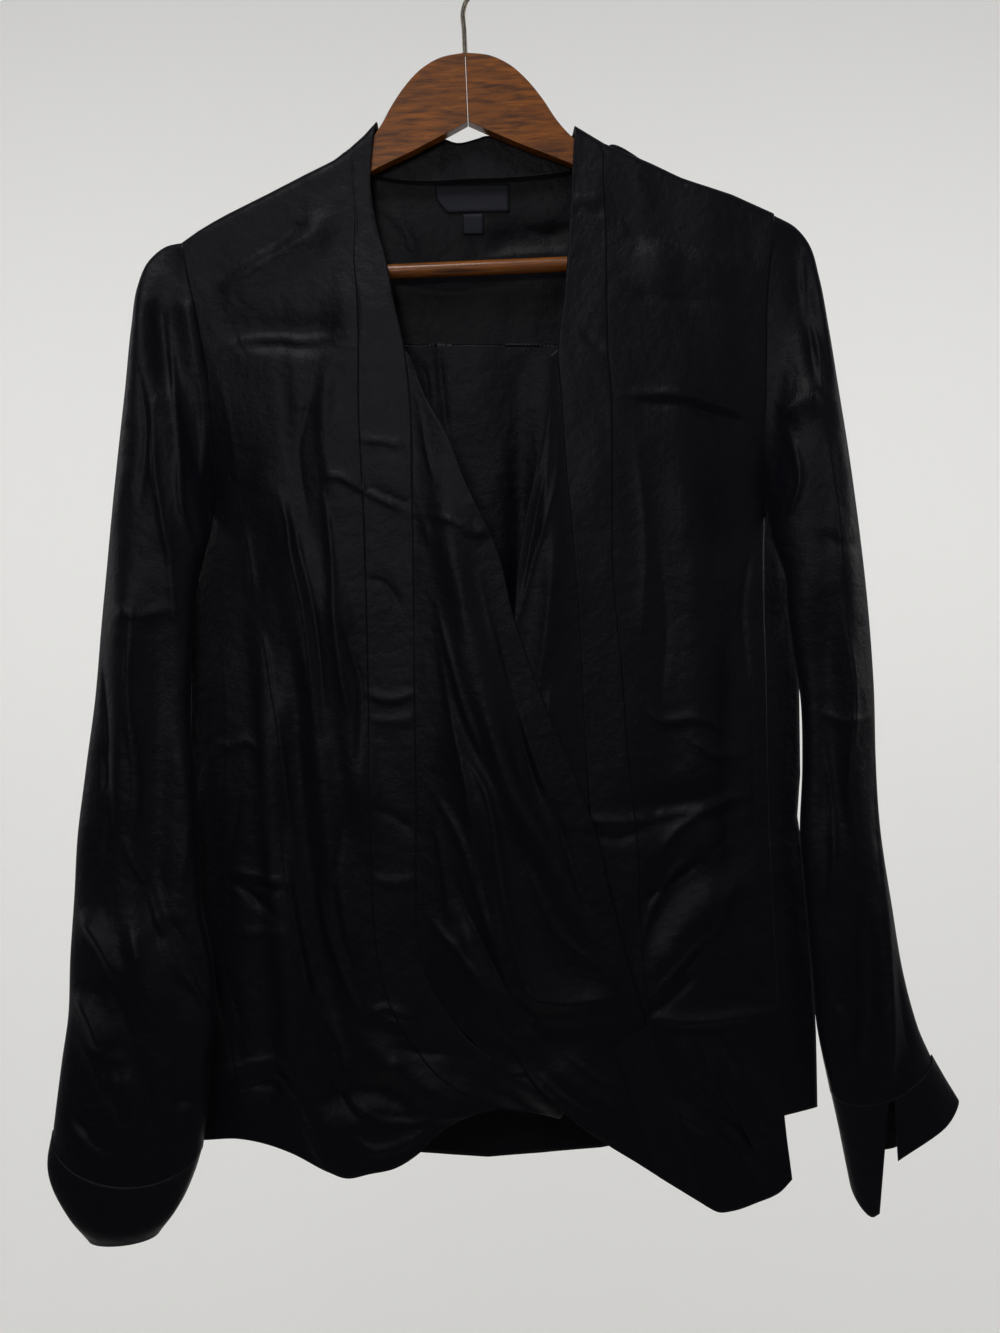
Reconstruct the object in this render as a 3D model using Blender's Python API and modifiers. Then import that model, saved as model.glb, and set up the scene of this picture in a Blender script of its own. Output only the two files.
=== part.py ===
"""A silk surplice blouse hung on a wooden hanger.

The hook's inside top is the origin, +Z is up and the blouse faces -Y. Tables give places in
millimetres: x to the right of the hook and the drop below it. Every piece of cloth is an open
surface, laid through the rungs of its table and given its wall by Solidify.
"""

import math

import bmesh
import bpy
import numpy as np
from mathutils import Matrix, Vector

MM = 0.001
WALL = 1.2  # thickness of the cloth's wall
SEAM = 0.45  # between the middles of two walls that are sewn edge to edge
EDGE = 0.95  # half of the depth where a front meets a back
ROUND = 7.5  # radius of the cloth over the hanger's arm

LABEL_WALL = 0.8
LABEL_LIFT = 1.4  # from the middle of the yoke's wall to the middle of a label
LEFT_WRAP_RISE = 5.4  # how far the upper wrap stands in front of the bands
RIGHT_WRAP_RISE = 2.7
UNDERARM = 394  # drop of the two armholes' lowest points
BACK_LENGTH = 842  # drop of the back's hem, before its own curve
SAME_PLACE = 0.01  # places this near each other are one

# The shoulder line from tip to tip, with the neck's unseen line between the bands.
SHOULDER = [
    (-196, 216), (-182, 205), (-161, 194), (-133, 180), (-108, 167), (-88, 157), (-76, 148),
    (-67, 140), (-58, 130), (-20, 118), (10, 116), (45, 120), (80, 133), (100, 145), (133, 159),
    (154, 169), (190, 181), (221, 195),
]

# Drop, then the left and the right edge of the body: armhole seams, and below them the sides.
SIDES = [
    (205, -194, 219), (230, -191, 216), (258, -186, 214), (310, -176, 213.5), (394, -172, 213.5),
    (422, -177, 220), (449, -184, 230), (476, -187, 230), (517, -188.5, 237), (596, -187, 238),
    (627, -185.5, 236), (654, -184, 240), (702, -182, 244), (744, -181, 247),
    (786, -181, 249), (842, -181, 250), (885, -181, 250),
]

# Drop, then where the right side seam shows on the front.
RIGHT_SIDE_SEAM = [
    (394, 213.5), (430, 213.4), (445, 212), (478, 212.5), (517, 213.2), (577, 214.1), (637, 216),
    (690, 218.7), (735, 221.1), (779, 222.9), (818, 225.3), (842, 228), (854, 231.5), (885, 232),
]

# Drop, then the fullest depth of the front and of the back.
FULLNESS = [(120, 9, 9), (200, 13, 11), (300, 22, 16), (400, 27, 20), (600, 30, 23), (885, 28, 24)]

# Each fold: which wall, height (below 0 a trough), width, then its line as x and drop.
FOLDS = [
    ("front", 7, 13, [(-142, 476), (-125, 561), (-117, 656), (-105, 737), (-101, 792), (-80, 858)]),
    ("front", 6, 12, [(-137, 384), (-106, 465), (-97, 570), (-84, 669), (-62, 740)]),
    ("front", 5, 11, [(-86, 440), (-78, 530), (-60, 635)]),
    ("front", -5, 13, [(-155, 420), (-141, 530), (-136, 650), (-131, 760), (-128, 835)]),
    ("front", -4, 10, [(-110, 500), (-108, 600), (-96, 700), (-84, 770)]),
    ("front", -4, 12, [(-166, 286), (-150, 278), (-110, 280), (-72, 276)]),
    ("front", 3, 12, [(-172, 262), (-140, 238), (-105, 215), (-85, 190)]),
    ("front", -4, 13, [(112, 198), (137, 202), (172, 208), (200, 212)]),
    ("front", 3, 14, [(118, 225), (160, 236), (200, 248)]),
    ("front", 4, 14, [(150, 330), (165, 450), (168, 600), (175, 700)]),
    ("front", -4, 13, [(190, 350), (190, 480), (188, 600), (196, 690)]),
    ("front", -4, 12, [(124, 612), (150, 606), (188, 604)]),
    ("front", -4, 11, [(126, 705), (138, 674), (160, 655), (184, 642)]),
    ("front", 5, 13, [(130, 735), (148, 700), (176, 672), (208, 655)]),
    ("front", -4, 10, [(166, 790), (184, 826), (212, 868)]),
    ("front", 4, 11, [(186, 780), (206, 815), (220, 845)]),
    ("front", 4, 12, [(-70, 760), (-30, 795), (15, 815)]),
    ("front", -4, 10, [(-110, 815), (-60, 800), (-30, 812)]),
    ("left wrap", 7, 13, [(-6, 560), (14, 601), (26, 650), (36, 700), (56, 733), (90, 742)]),
    ("left wrap", 5, 10, [(-24, 350), (-8, 430), (18, 520), (34, 590), (70, 660), (104, 720)]),
    ("left wrap", 4, 9, [(-8, 470), (10, 530), (40, 600), (66, 650)]),
    ("left wrap", 4, 9, [(2, 680), (14, 715), (40, 748)]),
    ("right wrap", 3, 9, [(70, 300), (69, 400), (62, 470), (55, 530)]),
    ("right wrap", 3, 10, [(60, 778), (84, 800), (118, 820)]),
    ("back", 4, 9, [(-34, 300), (-34, 500), (-30, 700), (-20, 850)]),
    ("back", 4, 9, [(42, 300), (42, 500), (38, 700), (28, 850)]),
    ("back", -4, 9, [(-52, 300), (-52, 520), (-50, 850)]),
    ("back", -4, 9, [(60, 300), (60, 520), (56, 850)]),
    ("back", 5, 16, [(-120, 420), (-126, 600), (-118, 850)]),
    ("back", 5, 16, [(130, 400), (140, 600), (150, 830)]),
    ("back", -4, 14, [(-90, 380), (-94, 600), (-88, 850)]),
    ("back", -4, 14, [(100, 380), (108, 600), (112, 830)]),
    ("back", 3, 10, [(16, 212), (45, 210), (80, 208)]),
]

# Fronts and bands, rung by rung: each rung is its points from the left edge to the right one.
LEFT_FRONT = [
    [(-194, 215), (-161, 194), (-133, 180), (-108, 167), (-88, 157), (-76, 148)],
    [(-192.5, 223), (-161, 202), (-133, 188), (-108, 175), (-88, 165), (-76, 157)],
    [(-191, 233), (-75, 174)], [(-188, 248), (-73, 200)], [(-184, 266), (-73.5, 228)],
    [(-180, 286), (-71, 258)], [(-176.5, 308), (-70, 292)], [(-174, 335), (-70, 327)],
    [(-172, 394), (-66.5, 396)], [(-177, 422), (-65.4, 423)], [(-184, 449), (-64.5, 450)],
    [(-187, 476), (-63.7, 476)], [(-188.5, 534), (-62.5, 533)], [(-186.7, 604), (-61, 601)],
    [(-183.2, 674), (-60, 656)], [(-181.5, 720), (-57, 703)], [(-181, 755), (-48, 741)],
    [(-181, 790), (-33, 768)], [(-181, 812), (-14, 790.5)],
    [(-181, 828), (-120, 831), (-77, 842), (-40, 829), (11, 806)],
    [(-181, 842), (-153, 838), (-117, 845), (-90, 857), (-77, 861), (-61, 858), (-44, 854),
     (-28, 844), (-13, 829), (8, 817), (30, 812.5)],
]
LEFT_BAND = [
    [(-76, 148), (-67, 140), (-58, 130)], [(-76, 157), (-59.5, 139)], [(-75, 174), (-62, 170)],
    [(-73, 200), (-58.5, 201)], [(-73.5, 228), (-51, 228)], [(-71, 258), (-45, 258)],
    [(-70, 292), (-37.5, 292)], [(-70, 327), (-33.5, 327)], [(-66.5, 396), (-31.5, 397)],
    [(-64, 465), (-30.5, 465)], [(-62.5, 533), (-30, 533)], [(-61, 601), (-29, 601)],
    [(-60, 656), (-29, 656)], [(-57, 703), (-28, 700)], [(-48, 741), (-19.5, 727)],
    [(-33, 768), (-6, 750)], [(-14, 790.5), (12, 770)], [(11, 806), (31.5, 782)],
    [(38, 814), (55, 790.5)], [(69, 819), (81, 799)],
]
RIGHT_BAND = [
    [(80, 133), (100, 145)], [(79.5, 141), (100, 154)], [(78.5, 162), (100, 172)],
    [(76.5, 198), (101.5, 200)], [(74.5, 228), (102, 231)], [(71.5, 263), (102, 263)],
    [(67.5, 292), (102.5, 292)], [(70, 327), (105, 327)], [(74, 383), (105, 383)],
    [(80, 445), (105.5, 445)], [(84, 520), (112, 520)], [(87, 581), (116.5, 581)],
    [(90.5, 635), (122.5, 635)], [(94, 690), (124.5, 690)], [(98.5, 737), (128.5, 737)],
    [(108, 778), (137, 778)], [(120.5, 816), (150.5, 816)], [(136.5, 860), (171, 882)],
]
RIGHT_FRONT = [
    [(100, 145), (133, 159), (154, 169), (190, 181), (219, 194)],
    [(100, 154), (133, 168), (154, 178), (190, 190), (218.5, 203)],
    [(100, 172), (218, 213)], [(101.5, 200), (216, 231)], [(102, 231), (214, 258)],
    [(102, 263), (213.7, 286)], [(102.5, 292), (213.5, 310)], [(105, 327), (213.3, 338)],
    [(105, 383), (213.3, 394)], [(105.5, 445), (211.5, 445)], [(112, 520), (212.7, 517)],
    [(116.5, 581), (213.6, 577)], [(122.5, 635), (215.5, 637)], [(124.5, 690), (218.2, 690)],
    [(128.5, 737), (220.6, 735)], [(137, 778), (222.4, 779)], [(150.5, 816), (224.8, 818)],
    [(171, 882), (179, 886), (188, 885.5), (205, 881), (222, 875), (231, 867)],
]
LEFT_WRAP = [
    [(-37, 293), (-33, 299)], [(-33.5, 327), (-23, 326)], [(-32.4, 350), (-9.5, 350)],
    [(-31.7, 384), (4, 384)], [(-31, 431), (26, 431)], [(-30.3, 479), (38, 479)],
    [(-30, 530), (56, 530)], [(-29, 581), (76, 578)], [(-29, 628), (94.5, 628)],
    [(-29, 669), (104, 669)], [(-28, 700), (113, 703)], [(-19.5, 727), (121, 732)],
    [(-6, 750), (50, 757), (124.5, 743)],
    [(12.8, 769), (23, 773.5), (36, 773), (52, 770.5), (77, 769), (97, 761), (127, 750)],
]
RIGHT_WRAP = [
    [(63, 297), (67.5, 292)], [(61, 327), (70, 327)], [(56, 357), (72.2, 355)],
    [(50, 387), (74.3, 387)], [(43, 421), (77.8, 421)], [(37, 479), (81.9, 479)],
    [(33, 533), (84.6, 533)], [(30, 601), (88.3, 601)], [(29.5, 669), (92.7, 669)],
    [(31.5, 737), (98.5, 737)], [(36, 770), (105.8, 770)], [(52, 795), (113.8, 796)],
    [(79, 820), (121.8, 820)], [(105, 839.5), (120, 849), (136.5, 860)],
]

# The stand band of the back neck, from its left end to its right: upper edge, then lower edge.
NECK_BAND = [
    [(-58, 130), (-76, 148)], [(-57, 134), (-76, 156)], [(-51, 137), (-70, 161.5)],
    [(-38, 138.5), (-56, 166)], [(-14, 138), (-19, 170)], [(0, 141.5), (4, 168.5)],
    [(12, 138.5), (16, 168)], [(18.5, 136.5), (26, 168)], [(32, 139.5), (40, 168)],
    [(56, 138), (64, 164.5)], [(72, 137), (86, 160)], [(78.5, 137), (98, 154)],
    [(80, 133), (100, 145)],
]
YOKE = [
    [(-194, 215), (-161, 194), (-133, 180), (-108, 167), (-90, 158), (-79, 150.5), (-78.5, 158),
     (-71.5, 163.5), (-57, 167.2), (-19, 170.4), (4, 169), (26, 168.4), (64.5, 165.2), (86.5, 161.3),
     (100.5, 156), (103, 147), (133, 159), (154, 169), (190, 181), (219, 194)],
    [(-191.5, 226), (-108, 190), (-60, 180), (4, 182), (86, 174), (154, 185), (218, 208)],
    [(-188, 248), (-70, 218), (4, 214), (90, 210), (216, 236)],
    [(-180.5, 284), (214, 284)],
]
YOKE_SEAM = 284

# The lower back's hem, from its left corner to its right one.
BACK_HEM = [
    (-181, 838), (-120, 848), (-24, 858), (20, 861), (100, 854), (180, 838), (226, 822),
    (250, 819),
]

# Rings of a sleeve from armhole to cuff: outer x and drop, inner x and drop, then the depth in
# front of and behind the ring's middle plane, where that plane lies, and the ring's sag.
LEFT_SLEEVE = [
    (-206.5, 218, -174.2, 399, 9, 8, -1, 0), (-217, 228, -175, 405, 10, 7, -3, 0),
    (-224, 246, -175.4, 412, 12, 6, -6, 0), (-227.5, 275, -175.5, 421, 14, 6, -9, 0),
    (-231, 315, -178, 434, 16, 7, -11, 0), (-236, 367, -181, 451, 17, 8, -13, 0),
    (-241, 423, -182.5, 474, 17, 9, -15, 0), (-246, 482, -184.5, 506, 17, 10, -17, 0),
    (-250, 534, -185, 547, 17, 11, -19, 0), (-256, 582, -180.5, 590, 17, 12, -21, 0),
    (-261, 627, -178.5, 632, 17, 12, -23, 0), (-263, 674, -176, 674, 18, 13, -25, 0),
    (-265, 711, -168.5, 711, 19, 14, -27, 0), (-266, 748, -166, 748, 19, 14, -28, 0),
    (-270, 777, -169.5, 778, 20, 15, -28, 4), (-274, 807, -171.7, 807, 20, 15, -28, 14),
    (-277, 830, -175, 834, 18, 15, -28, 31),
]
RIGHT_SLEEVE = [
    (234.5, 204, 216.4, 399, 9, 8, -1, 0), (243.5, 216, 217.3, 405, 10, 7, -3, 0),
    (250, 240, 217.5, 412, 11, 6, -6, 0), (256, 276, 218.2, 421, 13, 6, -9, 0),
    (263, 323, 221, 433, 15, 7, -11, 0), (269.5, 367, 225.5, 448, 16, 8, -12, 0),
    (275, 408, 226.5, 468, 16, 9, -13, 0), (281.5, 464, 230.5, 497, 15, 10, -13, 0),
    (285.5, 520, 236.3, 534, 15, 11, -14, 0), (287, 572, 237.5, 579, 15, 12, -14, 0),
    (290.5, 624, 235.8, 628, 15, 12, -14, 0), (298, 676, 239.5, 678, 15, 12, -15, 0),
    (305.5, 720, 243.5, 720, 15, 12, -15, 0), (315, 756, 247, 757, 15, 12, -15, 6),
    (326.5, 782, 257, 803, 14, 12, -12, 17),
]
SLEEVE_FOLDS = [
    ("left", -5, 9, [(-210, 254), (-207, 282), (-201, 331)]),
    ("left", 4, 9, [(-190, 254), (-184, 275), (-181, 324)]),
    ("left", 4, 12, [(-228, 430), (-230, 540), (-234, 640)]),
    ("left", -5, 12, [(-205, 440), (-204, 560), (-205, 640), (-204, 690)]),
    ("left", -5, 9, [(-204, 680), (-192, 696), (-181, 720), (-171, 747)]),
    ("left", 5, 9, [(-220, 686), (-212, 715), (-200, 750)]),
    ("left", 5, 10, [(-258, 674), (-240, 698), (-226, 730)]),
    ("left", 5, 9, [(-260, 728), (-246, 752), (-238, 771)]),
    ("left", 5, 8, [(-228, 778), (-224, 805), (-219, 820)]),
    ("left", -5, 8, [(-257, 804), (-247, 818), (-229, 804)]),
    ("left", -4, 8, [(-190, 780), (-186, 812)]),
    ("right", -5, 9, [(238, 222), (241, 260), (248, 292), (251, 326)]),
    ("right", 4, 9, [(224, 340), (234, 331), (250, 324)]),
    ("right", 4, 10, [(262, 380), (266, 470), (270, 560), (268, 640)]),
    ("right", -4, 10, [(250, 470), (254, 560), (256, 640)]),
    ("right", 5, 8, [(290, 640), (293, 720), (294, 790)]),
    ("right", -4, 8, [(276, 660), (278, 730), (276, 790)]),
]

# The left cuff is buttoned: rings below its sleeve's last one. The right cuff hangs open: its
# strip runs from one side of the slit round the wrist to the other. A row is the turn in degrees
# from the sleeve's outer edge, and the lower edge's x, drop and y there.
LEFT_CUFF = [
    (-280, 850, -180, 850, 18, 15, -28, 27), (-269, 874, -189, 871, 17, 14, -28, 21),
    (-252.5, 901, -204.5, 896, 11, 10, -28, 4),
]
RIGHT_CUFF = [
    (86, 290.5, 889, -14), (112, 284.5, 891, -15), (145, 276, 882, -12), (180, 271.5, 867, -5),
    (215, 276.5, 847, 4), (270, 300.5, 850, 5), (320, 321, 839, 3), (360, 346, 812, -7),
    (400, 335.5, 828.5, -17), (440, 301, 850, -23),
]

# The hanger in its own frame, which is turned round the hook by HANGER_TURN.
HANGER_TURN = math.radians(2.5)
HANGER_THICK = 12
ARM_UPPER = [
    (0, 83), (18, 86), (31, 93), (42, 103.5), (52.5, 117.5), (62, 133), (72, 145), (93, 158.5),
    (115, 169), (145, 182.5), (175, 196.5), (194, 206),
]
ARM_END = [(201, 211), (204, 220), (201, 232), (192, 241), (176, 242)]
ARM_LOWER = [(173, 239), (173, 225), (160, 216), (145, 206), (110, 186), (69, 163), (35, 148), (0, 131)]
ARM_GAP = 0.4  # between the two halves, on the hanger's middle line
BAR_DROP, BAR_REACH, BAR_RADIUS = 232, 172.6, 5.2
WIRE_RADIUS, HOOK_RADIUS = 1.7, 20
WIRE_SEAT = 83.3

NECK_LABEL = [[(-18, 171.5), (34.5, 170.5)], [(-17, 181), (34.5, 180)], [(-15, 191), (34.5, 190)]]
SIZE_LABEL = [[(1.5, 192), (16.5, 191.6)], [(2, 206), (16.5, 206)]]

COLOURS = {
    "silk": ((0.012, 0.011, 0.014), 0.45), "label": ((0.02, 0.02, 0.02), 0.6),
    "wood": ((0.19, 0.055, 0.016), 0.22), "steel": ((0.35, 0.33, 0.3), 0.3),
}


def through(keys, values, at):
    """Values on the smooth curve through the given keys, which rise."""
    keys, values, at = (np.asarray(part, float) for part in (keys, values, at))
    slopes = np.gradient(values, keys, axis=0)
    after = np.clip(np.searchsorted(keys, at, side="right"), 1, len(keys) - 1)
    before = after - 1
    length = keys[after] - keys[before]
    t = np.clip((at - keys[before]) / length, 0, 1)
    if values.ndim > 1:
        t, length = (part.reshape(part.shape + (1,) * (values.ndim - 1)) for part in (t, length))
    return (
        (1 + 2 * t) * (1 - t) ** 2 * values[before] + t * (1 - t) ** 2 * length * slopes[before]
        + t**2 * (3 - 2 * t) * values[after] - t**2 * (1 - t) * length * slopes[after]
    )


def column(table, index):
    return [row[index] for row in table]


def level(table, index, at):
    """One column of a table at any drop, read along straight lines."""
    return np.interp(at, column(table, 0), column(table, index))


def smoothstep(value):
    value = np.clip(value, 0, 1)
    return value * value * (3 - 2 * value)


def fold_heights(table, wall, x, drop):
    """The sum of a wall's folds at each place: each fades off its line and towards its ends."""
    total = np.zeros_like(x)
    for where, height, width, line in table:
        if where != wall:
            continue
        line = np.array(line, float)
        reach = np.linspace(0, len(line) - 1, 10 * len(line))
        path = through(np.arange(len(line)), line, reach)
        away = np.hypot(x[..., None] - path[:, 0], drop[..., None] - path[:, 1])
        nearest = away.argmin(axis=-1)
        along = nearest / (len(path) - 1)
        strength = 0.25 + 0.75 * smoothstep(np.minimum(along, 1 - along) * 4)
        total += height * strength * np.exp(-((away.min(axis=-1) / width) ** 2))
    return total


def depth(x, drop, wall):
    """How far a front or a back stands from the hanger's middle plane."""
    left, right = level(SIDES, 1, drop), level(SIDES, 2, drop)
    across = np.clip(np.abs((x - (left + right) / 2) / ((right - left) / 2)), 0, 1)
    below = np.clip(drop - level(SHOULDER, 1, x), 0, None)
    rise = ROUND * np.sqrt(1 - (1 - np.clip(below / ROUND, 0, 1)) ** 2)
    closed = smoothstep((drop - UNDERARM + 70) / 70)
    fullness = level(FULLNESS, 1 if wall == "front" else 2, drop) - EDGE - ROUND
    bulge = np.clip(fullness, 0, None) * smoothstep(below / 150) * (1 - across**2.6)
    folds = fold_heights(FOLDS, wall, x, drop) * (1 - across**6) * smoothstep(below / 30)
    return EDGE + rise * (1 - closed * across**8) + np.clip(bulge + folds, 0, None)


def spread(points, count):
    """Points at even steps along the smooth curve through a rung's own points."""
    points = np.array(points, float)
    steps = np.hypot(*np.diff(points, axis=0).T)
    reach = np.concatenate([[0], np.cumsum(steps)])
    if len(points) == 2:
        return points[0] + np.linspace(0, 1, count)[:, None] * (points[1] - points[0])
    return through(reach, points, np.linspace(0, reach[-1], count))


def inset(points, left, right):
    """A rung with its ends drawn in along itself, for the room that a seam leaves."""
    points = [np.array(point, float) for point in points]
    first, last = points[1] - points[0], points[-2] - points[-1]
    points[0] = points[0] + first / np.hypot(*first) * left
    points[-1] = points[-1] + last / np.hypot(*last) * right
    return points


def lay(rungs, columns, rows, left=0, right=0, first=(0,), last=(0,)):
    """The grid of places of one flat piece: rungs down the piece, columns across it.

    first and last are the close steps, in millimetres, that its two ends have."""
    sections = np.array([spread(inset(rung, left, right), columns + 1) for rung in rungs])
    steps = np.hypot(*np.moveaxis(np.diff(sections, axis=0), -1, 0)).mean(axis=1)
    reach = np.concatenate([[0], np.cumsum(steps)])
    even = np.linspace(first[-1], reach[-1] - last[-1], rows + 1)[1:-1]
    return through(reach, sections, np.concatenate([first, even, reach[-1] - np.array(last)[::-1]]))


def add_cloth(name, points, material, closed=False, wall=WALL):
    """An open surface from a grid of points, with Solidify for its wall."""
    rows, columns = points.shape[:2]
    mesh = bpy.data.meshes.new(name)
    shape = bmesh.new()
    filled = np.isfinite(points).all(axis=-1)
    grid = [
        [shape.verts.new(Vector(point) * MM) if full else None for point, full in zip(*row)]
        for row in zip(points, filled)
    ]
    turns = columns if closed else columns - 1
    for row in range(rows - 1):
        for turn in range(turns):
            ahead = (turn + 1) % columns
            corners = (grid[row][turn], grid[row + 1][turn], grid[row + 1][ahead], grid[row][ahead])
            if None not in corners:
                shape.faces.new(corners)
    bmesh.ops.remove_doubles(shape, verts=shape.verts, dist=SAME_PLACE * MM)
    bmesh.ops.recalc_face_normals(shape, faces=shape.faces)
    shape.to_mesh(mesh)
    shape.free()
    mesh.shade_smooth()
    piece = bpy.data.objects.new(name, mesh)
    parts.objects.link(piece)
    solidify = piece.modifiers.new("wall", "SOLIDIFY")
    solidify.thickness = wall * MM
    solidify.offset = 0
    mesh.materials.append(material)
    return piece


def in_front(places, lift=0.0):
    x, drop = places[..., 0], places[..., 1]
    return np.stack([x, -depth(x, drop, "front") - lift, -drop], axis=-1)


def behind(places, lift=0.0):
    x, drop = places[..., 0], places[..., 1]
    return np.stack([x, depth(x, drop, "back") + lift, -drop], axis=-1)


def wrap_lift(places, wall, rise, run, from_left):
    """A wrap leaves its band's edge and rises over what it crosses."""
    seam = places[:, :1] if from_left else places[:, -1:]
    away = np.hypot(*np.moveaxis(places - seam, -1, 0))
    ramp = smoothstep(away / run)
    folds = fold_heights(FOLDS, wall, places[..., 0], places[..., 1])
    return ramp * (rise + folds)


def ring(row, angle):
    """A flattened oval from a row of a sleeve's table, at the given turns from its outer edge."""
    outer_x, outer_drop, inner_x, inner_drop, fore, aft, middle, sag = row
    share, swell = (1 - np.cos(angle)) / 2, np.sin(angle)
    x = outer_x + share * (inner_x - outer_x)
    drop = outer_drop + share * (inner_drop - outer_drop) + sag * np.abs(swell)
    y = middle - np.where(swell >= 0, fore, -aft) * np.abs(swell) ** 0.8
    return np.stack([x, y, -drop], axis=-1)


def sleeve_places(rings, turns, rows, side, folds_of):
    """A sleeve's grid: the armhole ring first, then the table's rings."""
    angle = 2 * math.pi * np.arange(turns) / turns
    share, round_of = (1 - np.cos(angle)) / 2, np.sin(angle)
    top = 194 if side == 2 else 215
    drop = top + share * (UNDERARM - top)
    seam = level(SIDES, side, drop)
    out = 1 if side == 2 else -1
    halves = np.where(round_of >= 0, -depth(seam, drop, "front"), depth(seam, drop, "back"))
    armhole = np.stack([seam + out * 2 * SEAM, halves, -drop], axis=-1)
    sections = np.array([armhole] + [ring(row, angle) for row in rings])
    steps = np.linalg.norm(np.diff(sections, axis=0), axis=-1).mean(axis=1)
    reach = np.concatenate([[0], np.cumsum(steps)])
    points = through(reach, sections, np.linspace(0, reach[-1], rows + 1))
    from_end = np.minimum(np.arange(rows + 1), rows - np.arange(rows + 1))
    fade = smoothstep(from_end / 2)[:, None] * np.clip(round_of, 0, 1) ** 0.7
    folds = fold_heights(SLEEVE_FOLDS, folds_of, points[..., 0], -points[..., 2])
    points[..., 1] -= folds * fade
    return points


def left_cuff_places(turns, rows):
    angle = 2 * math.pi * np.arange(turns) / turns
    seam = ring(LEFT_SLEEVE[-1], angle) - (0, 0, 2 * SEAM)
    sections = np.array([seam] + [ring(row, angle) for row in LEFT_CUFF])
    return through(np.arange(len(sections)), sections, np.linspace(0, len(sections) - 1, rows + 1))


def right_cuff_places(columns, rows):
    """The open cuff's strip, from the sleeve's last ring down to its own lower edge."""
    table = np.array(RIGHT_CUFF, float)
    turn = np.linspace(table[0, 0], table[-1, 0], columns + 1)
    upper = ring(RIGHT_SLEEVE[-1], np.radians(turn)) - (0, 0, 2 * SEAM)
    lower = through(table[:, 0], table[:, [1, 3, 2]], turn) * (1, 1, -1)
    return upper + np.linspace(0, 1, rows + 1)[:, None, None] * (lower - upper)


def back_places(across, turned, above, below):
    """The lower back, and the strip of it that turns round the right edge to the seam in front.

    The strip starts at the underarm, so above that its places hold nothing."""
    hem = np.array(BACK_HEM, float)
    top = YOKE_SEAM + SEAM
    drops = np.concatenate(
        [np.linspace(top, UNDERARM, above + 1)[:-1], np.linspace(UNDERARM, BACK_LENGTH, below + 1)]
    )
    points = np.full((above + below + 1, across + turned + 1, 3), np.nan)
    for row, drop in enumerate(drops):
        left, right = level(SIDES, 1, drop) + SEAM / 2, level(SIDES, 2, drop) - SEAM / 2
        x = np.linspace(left, right, across + 1)
        if row >= above:
            seam = min(level(RIGHT_SIDE_SEAM, 1, drop) + SEAM, right)
            x = np.concatenate([x, np.linspace(right, seam, turned + 1)[1:]])
        reach = np.interp(x, hem[:, 0], hem[:, 1]) - UNDERARM
        lower = drop + max(drop - UNDERARM, 0) * (reach / (BACK_LENGTH - UNDERARM) - 1)
        y = depth(x, lower, "back")
        y[across + 1 :] = -depth(x, lower, "front")[across + 1 :]
        points[row, : len(x)] = np.stack([x, y, -lower], axis=-1)
    return points


def material(name):
    colour, roughness = COLOURS[name]
    made = bpy.data.materials.new(name)
    made.use_nodes = True
    shader = made.node_tree.nodes["Principled BSDF"]
    shader.inputs["Base Color"].default_value = (*colour, 1)
    shader.inputs["Roughness"].default_value = roughness
    shader.inputs["Metallic"].default_value = 1 if name == "steel" else 0
    return made


def hanger_arm(name, side, frame, wood):
    """One half: a flat outline as wide as the hanger is thick, with its edges rounded."""
    outline = [(side * max(x, ARM_GAP / 2), -drop) for x, drop in ARM_UPPER + ARM_END + ARM_LOWER]
    curve = bpy.data.curves.new(name, "CURVE")
    curve.dimensions, curve.fill_mode = "2D", "BOTH"
    curve.extrude = HANGER_THICK / 2 * MM
    spline = curve.splines.new("POLY")
    spline.points.add(len(outline) - 1)
    for point, (x, up) in zip(spline.points, outline):
        point.co = (x * MM, up * MM, 0, 1)
    spline.use_cyclic_u = True
    guide = bpy.data.objects.new(name + "_outline", curve)
    parts.objects.link(guide)
    bpy.context.view_layer.update()
    mesh = bpy.data.meshes.new_from_object(guide.evaluated_get(bpy.context.evaluated_depsgraph_get()))
    bpy.data.objects.remove(guide)
    shape = bmesh.new()
    shape.from_mesh(mesh)
    bmesh.ops.remove_doubles(shape, verts=shape.verts, dist=0.00001)
    bmesh.ops.recalc_face_normals(shape, faces=shape.faces)
    shape.to_mesh(mesh)
    shape.free()
    arm = bpy.data.objects.new(name, mesh)
    parts.objects.link(arm)
    arm.parent = frame
    arm.rotation_euler = (math.pi / 2, 0, 0)
    bevel = arm.modifiers.new("rounded edges", "BEVEL")
    bevel.width, bevel.segments, bevel.limit_method = 3 * MM, 2, "ANGLE"
    bevel.angle_limit = math.radians(50)
    mesh.materials.append(wood)
    return arm


def tube(name, points, radius, frame, made):
    curve = bpy.data.curves.new(name, "CURVE")
    curve.dimensions = "3D"
    curve.bevel_depth, curve.bevel_resolution, curve.use_fill_caps = radius * MM, 2, True
    spline = curve.splines.new("POLY")
    spline.points.add(len(points) - 1)
    for point, place in zip(spline.points, points):
        point.co = (*(Vector(place) * MM), 1)
    piece = bpy.data.objects.new(name, curve)
    parts.objects.link(piece)
    piece.parent = frame
    curve.materials.append(made)
    return piece


def hook_points():
    """The shank, a swing out to the side, and the turn over the rod whose top is the origin."""
    wire = HOOK_RADIUS + WIRE_RADIUS
    middle = -HOOK_RADIUS
    shank = [(0, 0, -WIRE_SEAT), (0, 0, -66), (0, 0, -52)]
    swing = [(2, 0, -46), (7, 0, -39.5), (13.5, 0, -34)]
    turn = []
    for step in range(13):
        angle = math.radians(-32 + step * 17.5)
        turn.append((wire * math.cos(angle), 0, middle + wire * math.sin(angle)))
    return shank + swing + turn


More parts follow.
